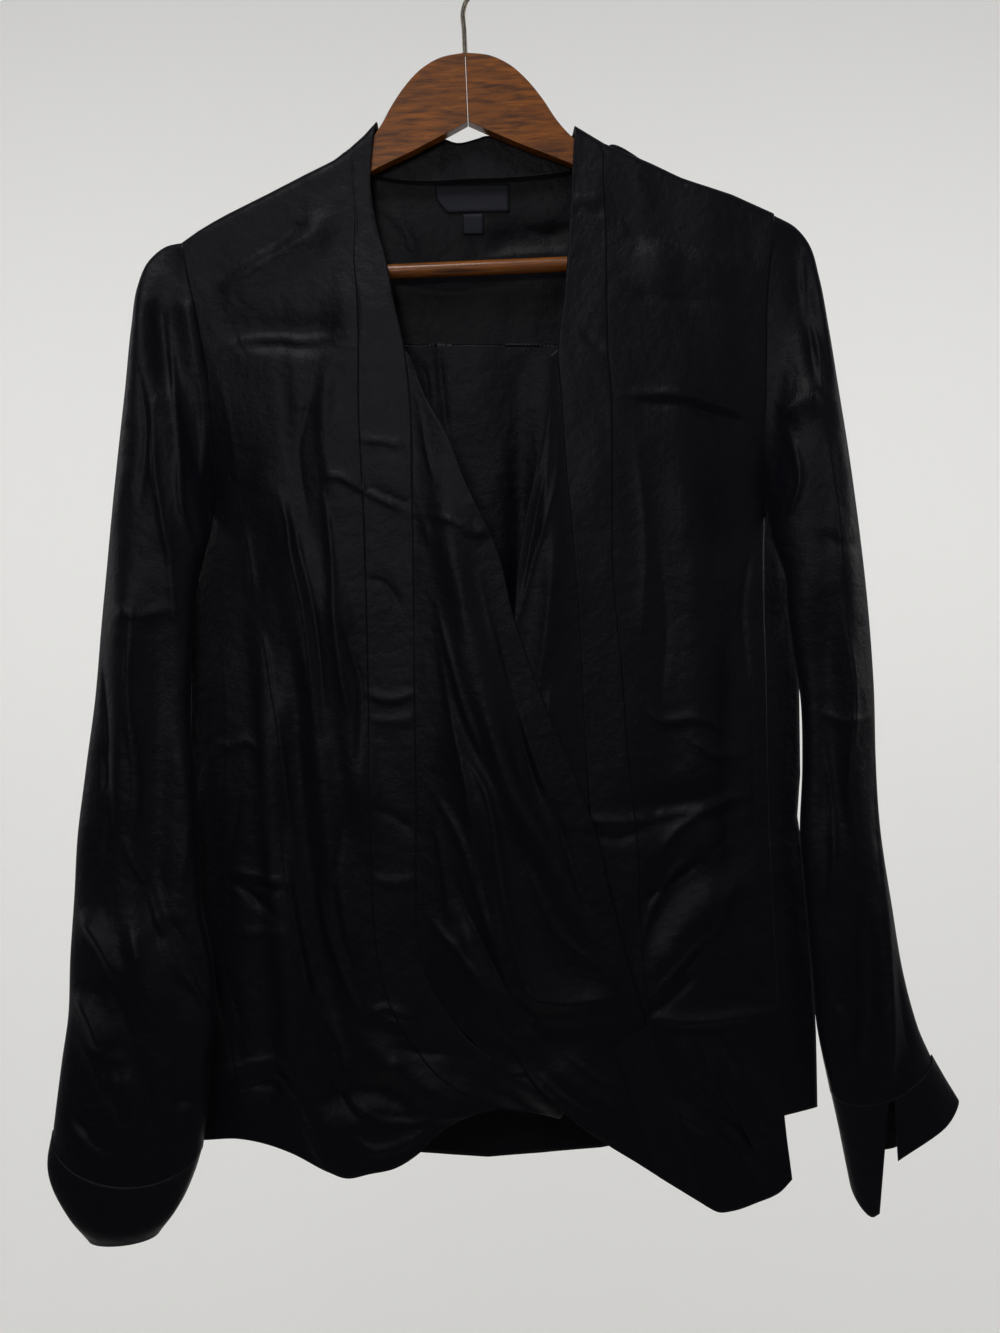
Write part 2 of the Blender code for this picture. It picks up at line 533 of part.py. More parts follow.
for stray in list(bpy.data.objects):
    bpy.data.objects.remove(stray, do_unlink=True)
parts = bpy.data.collections.new("blouse_on_hanger")
bpy.context.scene.collection.children.link(parts)

silk, bare_label, wood, steel = (material(name) for name in ("silk", "label", "wood", "steel"))
gap = SEAM / 2
over_arm = (0, 1.2, 3.2, 7)

add_cloth("left_front", in_front(lay(LEFT_FRONT, 13, 25, 4 * gap, 1.6 * gap, over_arm)), silk)
add_cloth("left_band", in_front(lay(LEFT_BAND, 3, 32, 2 * gap, 2 * gap, over_arm)), silk)
add_cloth("right_band", in_front(lay(RIGHT_BAND, 3, 30, 1.6 * gap, 1.6 * gap, over_arm)), silk)
add_cloth("right_front", in_front(lay(RIGHT_FRONT, 11, 27, gap, 3 * gap, over_arm)), silk)

left_wrap = lay(LEFT_WRAP, 12, 22, gap, 0)
left_lift = wrap_lift(left_wrap, "left wrap", LEFT_WRAP_RISE, 38, True)
add_cloth("left_wrap", in_front(left_wrap, left_lift), silk)
right_wrap = lay(RIGHT_WRAP, 7, 22, 0, gap)
right_lift = wrap_lift(right_wrap, "right wrap", RIGHT_WRAP_RISE, 24, False)
add_cloth("right_wrap", in_front(right_wrap, right_lift), silk)

add_cloth("neck_band", behind(lay(NECK_BAND, 3, 18, 0, SEAM, over_arm, over_arm)), silk)
add_cloth("back_yoke", behind(lay(YOKE, 30, 6, 3 * gap, 3 * gap, over_arm)), silk)
add_cloth("back", back_places(20, 2, 4, 16), silk)

add_cloth("left_sleeve", sleeve_places(LEFT_SLEEVE, 18, 24, 1, "left"), silk, closed=True)
add_cloth("right_sleeve", sleeve_places(RIGHT_SLEEVE, 18, 22, 2, "right"), silk, closed=True)
add_cloth("left_cuff", left_cuff_places(18, 4), silk, closed=True)
add_cloth("right_cuff", right_cuff_places(22, 4), silk)

for name, rungs, across in (("neck_label", NECK_LABEL, 6), ("size_label", SIZE_LABEL, 2)):
    add_cloth(name, behind(lay(rungs, across, 2), -LABEL_LIFT), bare_label, wall=LABEL_WALL)

frame = bpy.data.objects.new("hanger_frame", None)
parts.objects.link(frame)
frame.rotation_euler = (0, -HANGER_TURN, 0)
for side, name in ((-1, "hanger_left_arm"), (1, "hanger_right_arm")):
    hanger_arm(name, side, frame, wood)
bar_ends = [(-BAR_REACH, 0, -BAR_DROP), (BAR_REACH, 0, -BAR_DROP)]
tube("hanger_bar", bar_ends, BAR_RADIUS, frame, wood)
tube("hanger_hook", hook_points(), WIRE_RADIUS, frame, steel)
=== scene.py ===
# %% [markdown]
# A black silk blouse on a wooden hanger.
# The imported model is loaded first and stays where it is. Each piece of cloth is then built
# again as a thin shell on the same rule as its solid, so it lies in the same place and can
# carry the small creases that a coarse solid leaves out.

# %% Load the frame
import math

import bmesh
import bpy
import numpy as np
from mathutils import Euler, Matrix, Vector, noise


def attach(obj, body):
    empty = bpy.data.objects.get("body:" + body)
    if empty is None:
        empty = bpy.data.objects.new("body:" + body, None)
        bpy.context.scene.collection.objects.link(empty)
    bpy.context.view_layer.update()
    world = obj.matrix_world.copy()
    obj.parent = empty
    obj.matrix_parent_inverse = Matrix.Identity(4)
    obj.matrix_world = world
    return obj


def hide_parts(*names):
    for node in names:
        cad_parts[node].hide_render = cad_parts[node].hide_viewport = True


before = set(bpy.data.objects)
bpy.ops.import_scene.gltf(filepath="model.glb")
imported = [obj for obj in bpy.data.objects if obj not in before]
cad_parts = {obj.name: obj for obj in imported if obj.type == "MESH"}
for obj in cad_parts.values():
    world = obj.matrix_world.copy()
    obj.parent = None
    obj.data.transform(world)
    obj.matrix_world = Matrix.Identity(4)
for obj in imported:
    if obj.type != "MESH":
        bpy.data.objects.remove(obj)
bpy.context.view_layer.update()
print("packed nodes:", len(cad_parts))

# %% [markdown]
# The tables are a cutter's: millimetres to the right of the hook, and millimetres of drop
# below it. Silk is about 0.3 mm thick, and a shell here is twice that, so that its edges
# catch the light at a hem.

# %% Sizes of cloth
MM = 0.001
SILK_THICK = 0.6  # thickness of the shells
TAPE_THICK = 0.5
TUCK = 2.5  # how far an edge reaches in under the piece it is sewn to
EDGE = 0.35  # between the middle plane and each wall along the shoulder seam
ROUND = 7.5  # radius of the turn over the hanger, at the shoulders
SAME_PLACE = 0.01  # points nearer than this are one point
UNDERARM = 394  # drop of the armholes' lowest point
BACK_LENGTH = 842
ARMHOLE_SHARE = 0.94  # depth of a sleeve's first ring, as a share of the body's there
CUFF_EASE = 0.008  # how much wider a cuff is than the sleeve it is sewn over
BAND_LIFT = 0.35  # how far the front bands lie proud of the fronts
NECK_BAND_LIFT = 0.5
TURNED_LIFT = 0.4  # how far the back's turned strip lies in under the right front
LABEL_LIFT = 1.4  # from the yoke's middle to a label's
LEFT_WRAP_RISE, LEFT_WRAP_RUN = 5.4, 38
RIGHT_WRAP_RISE, RIGHT_WRAP_RUN = 2.7, 24

# The shoulder line from tip to tip, with the neck's unseen line between the bands.
SHOULDER = [
    (-196, 216), (-182, 205), (-161, 194), (-133, 180), (-108, 167), (-88, 157), (-76, 148),
    (-67, 140), (-58, 130), (-20, 118), (10, 116), (45, 120), (80, 133), (100, 145), (133, 159),
    (154, 169), (190, 181), (221, 195),
]

# Drop, then the left and the right edge of the body: armhole seams, and below them the sides.
SIDES = [
    (205, -194, 219), (230, -191, 216), (258, -186, 214), (310, -176, 213.5), (394, -172, 213.5),
    (422, -177, 220), (449, -184, 230), (476, -187, 230), (517, -188.5, 237), (596, -187, 238),
    (627, -185.5, 236), (654, -184, 240), (702, -182, 244), (744, -181, 247),
    (786, -181, 249), (842, -181, 250), (885, -181, 250),
]

# Drop, then where the right side seam shows on the front.
RIGHT_SIDE_SEAM = [
    (394, 213.5), (430, 213.4), (445, 212), (478, 212.5), (517, 213.2), (577, 214.1), (637, 216),
    (690, 218.7), (735, 221.1), (779, 222.9), (818, 225.3), (842, 228), (854, 231.5), (885, 232),
]

# Drop, then the fullest depth of the front and of the back.
FULLNESS = [(120, 9, 9), (200, 13, 11), (300, 22, 16), (400, 27, 20), (600, 30, 23), (885, 28, 24)]

# %% [markdown]
# Silk that hangs falls in long soft folds. Each one is a line chosen where the
# photograph shows it, with a height and a width, and it fades towards its two ends. Large
# folds repeat those of the solids.

# %% Large folds
# Each fold: which wall, height (below 0 a trough), width, then its line as x and drop.
FOLDS = [
    ("front", 7, 13, [(-142, 476), (-125, 561), (-117, 656), (-105, 737), (-101, 792), (-80, 858)]),
    ("front", 6, 12, [(-137, 384), (-106, 465), (-97, 570), (-84, 669), (-62, 740)]),
    ("front", 5, 11, [(-86, 440), (-78, 530), (-60, 635)]),
    ("front", -5, 13, [(-155, 420), (-141, 530), (-136, 650), (-131, 760), (-128, 835)]),
    ("front", -4, 10, [(-110, 500), (-108, 600), (-96, 700), (-84, 770)]),
    ("front", -4, 12, [(-166, 286), (-150, 278), (-110, 280), (-72, 276)]),
    ("front", 4, 8, [(30, 786), (52, 800), (84, 822), (112, 838)]),
    ("front", -4, 7, [(22, 796), (46, 812), (76, 832)]),
    ("front", 3, 12, [(-172, 262), (-140, 238), (-105, 215), (-85, 190)]),
    ("front", -4, 13, [(112, 198), (137, 202), (172, 208), (200, 212)]),
    ("front", 3, 14, [(118, 225), (160, 236), (200, 248)]),
    ("front", 4, 14, [(150, 330), (165, 450), (168, 600), (175, 700)]),
    ("front", -4, 13, [(190, 350), (190, 480), (188, 600), (196, 690)]),
    ("front", -4, 12, [(124, 612), (150, 606), (188, 604)]),
    ("front", -4, 11, [(126, 705), (138, 674), (160, 655), (184, 642)]),
    ("front", 3, 10, [(130, 735), (148, 700), (176, 672), (208, 655)]),
    ("front", -4, 10, [(166, 790), (184, 826), (212, 868)]),
    ("front", 4, 11, [(186, 780), (206, 815), (220, 845)]),
    ("front", 4, 12, [(-70, 760), (-30, 795), (15, 815)]),
    ("front", -4, 10, [(-110, 815), (-60, 800), (-30, 812)]),
    ("left wrap", 7, 13, [(-6, 560), (14, 601), (26, 650), (36, 700), (56, 733), (90, 742)]),
    ("left wrap", 5, 10, [(-24, 350), (-8, 430), (18, 520), (34, 590), (70, 660), (104, 720)]),
    ("left wrap", 4, 9, [(-8, 470), (10, 530), (40, 600), (66, 650)]),
    ("left wrap", 4, 9, [(2, 680), (14, 715), (40, 748)]),
    ("right wrap", 3, 9, [(70, 300), (69, 400), (62, 470), (55, 530)]),
    ("right wrap", 3, 10, [(60, 778), (84, 800), (118, 820)]),
    ("back", 4, 9, [(-34, 300), (-34, 500), (-30, 700), (-20, 850)]),
    ("back", 4, 9, [(42, 300), (42, 500), (38, 700), (28, 850)]),
    ("back", -4, 9, [(-52, 300), (-52, 520), (-50, 850)]),
    ("back", -4, 9, [(60, 300), (60, 520), (56, 850)]),
    ("back", 5, 16, [(-120, 420), (-126, 600), (-118, 850)]),
    ("back", 5, 16, [(130, 400), (140, 600), (150, 830)]),
    ("back", -4, 14, [(-90, 380), (-94, 600), (-88, 850)]),
    ("back", -4, 14, [(100, 380), (108, 600), (112, 830)]),
    ("back", 3, 10, [(16, 212), (45, 210), (80, 208)]),
]

# %% [markdown]
# Sandwashed silk also keeps many small creases from folding and wear. They are as uneven as
# the real ones, and one to four millimetres deep. A row reads as a fold's does.

# %% Small creases
CREASES = [
    ("front", 2.2, 3.4, [(-164, 291), (-148, 284), (-126, 283), (-105, 285), (-79, 281)]),
    ("front", -1.8, 3.6, [(-150, 290), (-128, 289), (-108, 291), (-90, 288)]),
    ("front", 2.6, 3.6, [
        (-143, 478), (-134, 497), (-129, 529), (-124, 553), (-118, 600), (-112, 640),
    ]),
    ("front", 3.0, 3.8, [
        (-124, 393), (-118, 412), (-115, 435), (-108, 466), (-103, 502), (-99, 550),
    ]),
    ("front", -2.2, 3.6, [(-117, 400), (-109, 435), (-101, 466), (-95, 505), (-92, 560)]),
    ("front", 2.6, 4.6, [(-94, 388), (-90, 412), (-87, 440), (-85, 480), (-78, 529), (-72, 552)]),
    ("front", -1.8, 3.4, [(-82, 470), (-74, 500), (-67, 530), (-70, 590)]),
    ("front", 1.6, 3.4, [(-150, 412), (-145, 435), (-141, 466)]),
    ("front", 2.2, 3.0, [(-98, 382), (-84, 380), (-70, 387), (-58, 393), (-46, 399), (-32, 404)]),
    ("front", -2.4, 5.0, [(-176, 246), (-158, 232), (-126, 213), (-108, 201)]),
    ("front", 2.0, 4.0, [(-170, 252), (-152, 240), (-120, 221), (-100, 210)]),
    ("front", 2.6, 3.2, [(-162, 652), (-140, 656), (-115, 659)]),
    ("front", -2.2, 3.2, [(-158, 660), (-145, 668), (-138, 678)]),
    ("front", 2.4, 3.4, [(-122, 629), (-115, 676), (-105, 724), (-94, 771)]),
    ("front", -2.2, 3.4, [(-115, 640), (-107, 690), (-97, 735)]),
    ("front", 2.8, 3.4, [(-105, 724), (-81, 771), (-71, 812), (-40, 822), (8, 816)]),
    ("front", 2.4, 3.2, [(-166, 792), (-140, 784), (-122, 785), (-112, 800)]),
    ("front", -2.2, 3.2, [(-160, 805), (-138, 800), (-118, 802)]),
    ("front", 2.4, 3.4, [(110, 323), (150, 323), (180, 330), (205, 340)]),
    ("front", -2.0, 3.6, [(116, 330), (150, 331), (178, 338), (200, 348)]),
    ("front", 2.4, 3.2, [(89, 615), (120, 616), (150, 611), (184, 606)]),
    ("front", 3.0, 3.6, [(127, 744), (146, 722), (157, 710), (176, 690), (191, 656)]),
    ("front", -2.4, 3.4, [(123, 676), (137, 664), (150, 656), (184, 629)]),
    ("front", 2.6, 3.4, [(130, 751), (160, 754), (190, 751), (215, 750)]),
    ("front", 2.6, 3.4, [(144, 812), (164, 826), (184, 839), (212, 873)]),
    ("front", -2.4, 3.4, [(150, 806), (172, 818), (194, 834), (214, 862)]),
    ("front", 2.2, 3.0, [(-62, 530), (-46, 533), (-31, 529)]),
    ("front", 3.0, 4.4, [(137, 640), (150, 622), (176, 606), (200, 600)]),
    ("front", 2.6, 3.6, [(124, 700), (133, 676), (144, 656), (160, 640)]),
    ("front", -2.4, 3.8, [(140, 735), (158, 715), (172, 695), (188, 668)]),
    ("front", 2.6, 3.4, [(166, 770), (180, 800), (196, 826), (206, 850)]),
    ("front", -2.2, 3.4, [(178, 765), (194, 790), (206, 815), (216, 840)]),
    ("front", 2.4, 3.4, [(-176, 700), (-168, 740), (-158, 775), (-150, 815)]),
    ("front", -2.2, 3.4, [(-168, 690), (-160, 730), (-150, 760)]),
    ("front", 2.6, 3.4, [(-128, 795), (-112, 812), (-100, 838), (-92, 852)]),
    ("front", 2.4, 3.4, [(-70, 835), (-58, 842), (-40, 838), (-20, 826)]),
    ("front", 2.4, 3.2, [(-96, 660), (-90, 690), (-78, 725), (-66, 752)]),
    ("front", -2.0, 3.2, [(-88, 650), (-82, 690), (-72, 718)]),
    ("front", 2.0, 3.2, [(-174, 560), (-160, 566), (-148, 562), (-136, 570)]),
    ("front", 2.0, 3.4, [(128, 540), (140, 548), (160, 546), (182, 552)]),
    ("front", -1.8, 3.4, [(204, 420), (196, 470), (200, 520)]),
    ("front", 2.0, 3.0, [(-60, 748), (-50, 744), (-34, 750)]),
    ("left wrap", 2.4, 3.4, [(-36, 312), (-28, 332), (-23, 359), (-18, 383)]),
    ("left wrap", 2.2, 3.0, [(-32, 404), (-20, 407), (-4, 412), (18, 419)]),
    ("left wrap", 2.2, 3.2, [(-32, 388), (-26, 412), (-19, 428)]),
    ("left wrap", 3.0, 3.8, [(-23, 588), (1, 629), (21, 690), (42, 744), (60, 768)]),
    ("left wrap", 3.2, 4.0, [(-20, 683), (14, 724), (28, 752), (40, 770)]),
    ("left wrap", -2.4, 3.6, [(-10, 640), (12, 690), (34, 730), (60, 756)]),
    ("left wrap", 2.8, 3.8, [(-16, 466), (-6, 506), (4, 540), (18, 575)]),
    ("left wrap", 2.6, 3.6, [(-3, 561), (20, 600), (31, 669), (48, 731), (69, 738)]),
    ("left wrap", -2.2, 3.6, [(20, 470), (34, 520), (46, 570), (58, 610)]),
    ("left wrap", -2.0, 3.4, [(64, 600), (78, 650), (92, 690)]),
    ("right wrap", 1.8, 3.4, [(69, 330), (66, 384), (50, 440), (38, 486)]),
    ("right wrap", 2.0, 3.4, [(62, 527), (60, 560), (60, 595)]),
    ("right wrap", -1.8, 3.4, [(58, 380), (50, 420), (42, 470)]),
    ("back", 1.8, 3.4, [(-16, 280), (-13, 317), (-9, 350)]),
    ("back", 1.6, 3.4, [(-30, 295), (-25, 306), (-22, 330)]),
    ("back", -1.6, 3.4, [(18, 222), (46, 219), (76, 218)]),
    ("front", -2.0, 5, [(-152, 661), (-136, 662), (-118, 664)]),
    ("front", -1.8, 5, [(-152, 663), (-134, 676), (-115, 693)]),
    ("front", 1.6, 5, [(-152, 697), (-138, 695), (-121, 693)]),
    ("front", 1.6, 5, [(-166, 794), (-156, 790), (-145, 788)]),
    ("front", -2.0, 5, [(-162, 822), (-145, 806), (-128, 792), (-105, 800)]),
    ("front", 1.8, 5, [(-62, 748), (-48, 752), (-33, 758)]),
    ("front", -1.8, 5, [(-43, 771), (-25, 775), (-5, 775)]),
    ("front", 2.0, 5, [(-62, 795), (-50, 786), (-37, 778)]),
    ("front", -2.2, 4, [(-100, 748), (-88, 788), (-74, 815), (-40, 821), (-13, 820)]),
    ("front", 1.4, 5, [(-172, 300), (-160, 340), (-154, 390)]),
    ("front", -1.4, 6, [(-100, 320), (-110, 360), (-104, 410)]),
    ("front", 1.5, 7, [(-90, 300), (-94, 350), (-86, 400)]),
    ("front", -1.6, 5, [(-150, 590), (-158, 640), (-160, 700)]),
    ("front", 1.5, 6, [(-166, 480), (-162, 560), (-164, 620)]),
    ("front", -1.5, 5, [(-76, 600), (-84, 660), (-78, 700)]),
    ("front", 1.2, 4, [(-72, 354), (-52, 356), (-34, 360)]),
    ("front", -1.6, 4, [(-71, 386), (-52, 393), (-33, 402)]),
    ("front", 1.2, 4, [(-62, 546), (-46, 548), (-30, 545)]),
    ("front", -1.5, 4, [(-61, 607), (-45, 613), (-29, 625)]),
    ("front", 1.3, 4, [(-60, 656), (-44, 658), (-29, 655)]),
    ("front", -1.4, 4, [(-66, 450), (-50, 455), (-40, 470)]),
    ("front", 1.2, 3.5, [(77, 184), (88, 186), (100, 185)]),
    ("front", -1.2, 3.5, [(77, 193), (90, 195), (101, 194)]),
    ("front", -1.3, 4, [(84, 280), (92, 287), (100, 293)]),
    ("front", 1.6, 4, [(90, 616), (105, 618), (120, 616)]),
    ("front", -1.6, 4, [(92, 625), (106, 628), (121, 624)]),
    ("front", -1.6, 5, [(157, 329), (180, 336), (205, 340)]),
    ("front", 1.6, 5, [(130, 749), (170, 754), (214, 751)]),
    ("front", -2.0, 5, [(127, 751), (146, 738), (164, 720)]),
    ("front", 1.5, 5, [(150, 760), (160, 790), (172, 812)]),
    ("front", -1.8, 4, [(190, 794), (200, 812), (214, 836)]),
    ("front", -1.5, 5, [(136, 420), (142, 480), (138, 540)]),
    ("front", 1.4, 6, [(122, 360), (128, 430), (124, 500)]),
    ("front", -1.6, 5, [(200, 520), (204, 590), (202, 650)]),
    ("front", 1.5, 5, [(160, 560), (176, 572), (200, 570)]),
    ("front", -1.4, 5, [(118, 250), (140, 256), (176, 258)]),
    ("front", -2.2, 5, [(150, 158), (168, 172), (182, 190)]),
    ("left wrap", 1.6, 4, [(-30, 330), (-26, 350), (-18, 384)]),
    ("left wrap", 1.8, 4, [(-33, 384), (-26, 405), (-19, 425)]),
    ("left wrap", 2.2, 5, [(-29, 664), (-14, 690), (2, 704)]),
    ("left wrap", 2.2, 5, [(-20, 730), (-4, 752), (9, 766)]),
    ("left wrap", 2.4, 5, [(-16, 480), (-6, 540), (6, 600), (10, 650)]),
    ("left wrap", 2.0, 5, [(14, 450), (30, 510), (50, 570), (72, 620)]),
    ("left wrap", 2.4, 5, [(20, 660), (34, 716), (60, 738), (104, 736)]),
    ("left wrap", 2.0, 4, [(-20, 600), (-10, 650), (-6, 690)]),
    ("left wrap", 1.8, 4, [(44, 640), (66, 690), (96, 716)]),
    ("left wrap", 1.6, 4, [(0, 418), (10, 420), (21, 418)]),
    ("left wrap", 1.8, 4, [(30, 760), (52, 752), (84, 750)]),
    ("right wrap", 1.0, 4, [(64, 320), (60, 380), (56, 430)]),
    ("right wrap", 1.0, 4, [(66, 420), (60, 480), (52, 540)]),
    ("right wrap", 1.2, 4, [(50, 784), (74, 806), (100, 822)]),
    ("right wrap", 1.2, 4, [(70, 772), (92, 790), (116, 802)]),
    ("back", -1.5, 5, [(-60, 182), (-40, 200), (-30, 225)]),
    ("back", 1.4, 6, [(40, 200), (62, 205), (84, 200)]),
    ("back", 1.2, 5, [(-50, 240), (-10, 246), (40, 240)]),
    ("back", -1.4, 5, [(-150, 330), (-158, 420), (-152, 500)]),
    ("back", 1.5, 6, [(-60, 320), (-66, 400), (-62, 480)]),
    ("back", -1.5, 6, [(80, 330), (84, 430), (78, 520)]),
    ("back", 1.5, 5, [(170, 360), (182, 440), (178, 540)]),
    ("back", -1.6, 5, [(-150, 600), (-140, 690), (-146, 780)]),
    ("back", 1.6, 5, [(-20, 560), (-24, 680), (-16, 800)]),
    ("back", -1.5, 5, [(14, 540), (20, 660), (12, 790)]),
    ("back", 1.6, 6, [(190, 600), (200, 700), (196, 790)]),
    ("back", 1.4, 5, [(-170, 640), (-140, 648), (-110, 640)]),
    ("back", -1.4, 5, [(120, 560), (150, 566), (190, 560)]),
]
SLEEVE_CREASES = [
    ("left", 2.4, 3.6, [(-211, 331), (-208, 374), (-203, 405), (-198, 437)]),
    ("left", 2.4, 3.6, [(-204, 258), (-198, 310), (-192, 362), (-190, 399), (-185, 423)]),
    ("left", 2.0, 3.4, [(-180, 299), (-177, 349), (-181, 399)]),
    ("left", 2.8, 3.6, [(-204, 680), (-192, 696), (-181, 720), (-171, 746)]),
    ("left", 2.4, 3.6, [(-179, 636), (-175, 688), (-164, 728)]),
    ("left", 2.4, 3.4, [(-226, 629), (-210, 660), (-196, 700), (-184, 725)]),
    ("left", 2.4, 3.2, [(-220, 687), (-213, 715)]),
    ("left", 2.8, 3.4, [(-260, 674), (-241, 698), (-228, 720)]),
    ("left", 2.8, 3.4, [(-261, 728), (-246, 752), (-239, 771)]),
    ("left", -2.6, 3.6, [(-228, 778), (-224, 804), (-219, 819)]),
    ("left", 2.8, 3.4, [(-257, 804), (-248, 817), (-229, 804)]),
    ("left", 2.4, 3.4, [(-191, 711), (-167, 750), (-180, 792)]),
    ("left", -2.2, 4.0, [(-244, 500), (-238, 560), (-242, 610)]),
    ("left", 2.2, 3.8, [(-222, 470), (-224, 530), (-218, 590), (-222, 640)]),
    ("right", 2.4, 3.6, [(238, 223), (240, 261), (248, 290), (250, 323)]),
    ("right", 2.6, 3.4, [(222, 338), (232, 329), (248, 322)]),
    ("right", 2.4, 3.6, [(226, 345), (233, 380), (226, 410)]),
    ("right", 2.4, 4.0, [(290, 640), (294, 700), (296, 760), (294, 800)]),
    ("right", 2.2, 3.6, [(262, 470), (270, 530), (266, 590), (270, 640)]),
    ("right", 2.0, 3.6, [(250, 560), (256, 620), (252, 680)]),
    ("left", -1.8, 5, [(-222, 300), (-214, 350), (-218, 400)]),
    ("left", 1.6, 5, [(-236, 470), (-220, 476), (-196, 470)]),
    ("left", -1.6, 5, [(-244, 560), (-236, 600), (-240, 650)]),
    ("left", 1.6, 5, [(-190, 560), (-184, 620), (-188, 660)]),
    ("left", -1.8, 5, [(-254, 690), (-236, 716), (-222, 756)]),
    ("left", 1.6, 4, [(-256, 762), (-244, 780), (-236, 800)]),
    ("left", -1.8, 4, [(-214, 776), (-208, 800), (-206, 822)]),
    ("left", 1.8, 4, [(-198, 776), (-194, 800), (-192, 818)]),
    ("left", -1.6, 4, [(-262, 812), (-246, 830), (-230, 838)]),
    ("left", 1.5, 5, [(-198, 400), (-196, 450), (-192, 490)]),
    ("right", -1.6, 5, [(234, 238), (242, 270), (244, 310)]),
    ("right", 1.6, 5, [(252, 350), (258, 400), (262, 450)]),
    ("right", -1.6, 5, [(244, 420), (262, 428), (276, 424)]),
    ("right", 1.6, 5, [(252, 600), (258, 660), (262, 720)]),
    ("right", -1.8, 5, [(284, 560), (286, 620), (290, 670)]),
    ("right", 1.8, 4, [(256, 740), (266, 764), (272, 796)]),
    ("right", -1.8, 4, [(300, 720), (304, 752), (310, 780)]),
    ("right", 1.6, 4, [(246, 540), (262, 548), (280, 544)]),
]

# %% [markdown]
# One smooth curve reader serves every table. Between two rows it follows a cubic, so five or
# six rows give a round line with no corners.

# %% Curves through the tables
def through(keys, values, at):
    """Values on the smooth curve through the given keys, which rise."""
    keys, values, at = (np.asarray(part, float) for part in (keys, values, at))
    slopes = np.gradient(values, keys, axis=0)
    after = np.clip(np.searchsorted(keys, at, side="right"), 1, len(keys) - 1)
    before = after - 1
    length = keys[after] - keys[before]
    t = np.clip((at - keys[before]) / length, 0, 1)
    if values.ndim > 1:
        t, length = (part.reshape(part.shape + (1,) * (values.ndim - 1)) for part in (t, length))
    return (
        (1 + 2 * t) * (1 - t) ** 2 * values[before] + t * (1 - t) ** 2 * length * slopes[before]
        + t**2 * (3 - 2 * t) * values[after] - t**2 * (1 - t) * length * slopes[after]
    )


def column(table, index):
    return [row[index] for row in table]


def level(table, index, at):
    """One column of a table at any drop, read along straight lines."""
    return np.interp(at, column(table, 0), column(table, index))


# %% [markdown]
# A hung front is flat at its sides, where it meets the back, fuller in the middle, and round
# at the top, where it lies over the hanger's arm. One function gives that depth for any
# place, so pieces that are sewn together agree along the whole seam.

# %% How far the cloth stands out
CREASE_WIDTH = 4.6  # a fold narrower than this is a crease, with a sharper line
FAINT = 0.25  # the share of its height that a fold keeps at its ends
CLOSES_OVER = 70  # the drop above the underarm in which front and back draw together
SWELLS_OVER = 150  # the drop below the shoulder in which the cloth reaches its full depth
FOLDS_OVER = 30  # the drop below the shoulder in which folds begin


def smoothstep(value):
    value = np.clip(value, 0, 1)
    return value * value * (3 - 2 * value)


def fold_heights(table, wall, x, drop):
    """The sum of a wall's folds at each place: each fades off its line and towards its ends."""
    total = np.zeros_like(x)
    for where, height, width, line in table:
        if where != wall:
            continue
        line = np.array(line, float)
        path = through(np.arange(len(line)), line, np.linspace(0, len(line) - 1, 8 * len(line)))
        low, high = path.min(axis=0) - 4 * width, path.max(axis=0) + 4 * width
        near = (x > low[0]) & (x < high[0]) & (drop > low[1]) & (drop < high[1])
        if not near.any():
            continue
        place = np.stack([x[near], drop[near]], axis=-1)[:, None]
        step = np.diff(path, axis=0)
        share = np.clip(((place - path[:-1]) * step).sum(axis=-1) / (step**2).sum(axis=-1), 0, 1)
        away = np.linalg.norm(place - path[:-1] - share[..., None] * step, axis=-1)
        nearest = away.argmin(axis=-1)
        along = (nearest + share[np.arange(len(nearest)), nearest]) / len(step)
        strength = FAINT + (1 - FAINT) * smoothstep(np.minimum(along, 1 - along) * 4)
        off_line = away.min(axis=-1) / width
        soft = np.exp(-(off_line**2))
        sharp = np.exp(-1.3 * (np.hypot(off_line, 0.2) - 0.2)) * smoothstep(4 - off_line)
        total[near] += height * strength * (sharp if width < CREASE_WIDTH else soft)
    return total


def depth(x, drop, wall):
    """How far a front or a back stands from the hanger's middle plane."""
    left, right = level(SIDES, 1, drop), level(SIDES, 2, drop)
    across = np.clip(np.abs((x - (left + right) / 2) / ((right - left) / 2)), 0, 1)
    below = np.clip(drop - level(SHOULDER, 1, x), 0, None)
    rise = ROUND * np.sqrt(1 - (1 - np.clip(below / ROUND, 0, 1)) ** 2)
    closed = smoothstep((drop - UNDERARM + CLOSES_OVER) / CLOSES_OVER)
    fullness = level(FULLNESS, 1 if wall == "front" else 2, drop) - EDGE - ROUND
    bulge = np.clip(fullness, 0, None) * smoothstep(below / SWELLS_OVER) * (1 - across**2.6)
    folds = fold_heights(FOLDS, wall, x, drop) * (1 - across**6) * smoothstep(below / FOLDS_OVER)
    return EDGE + rise * (1 - closed * across**8) + np.clip(bulge + folds, 0, None)


# %% [markdown]
# The cut pieces come next. A rung is one line across a piece, from its left edge to its right
# one, and a piece is laid through its rungs from top to bottom.

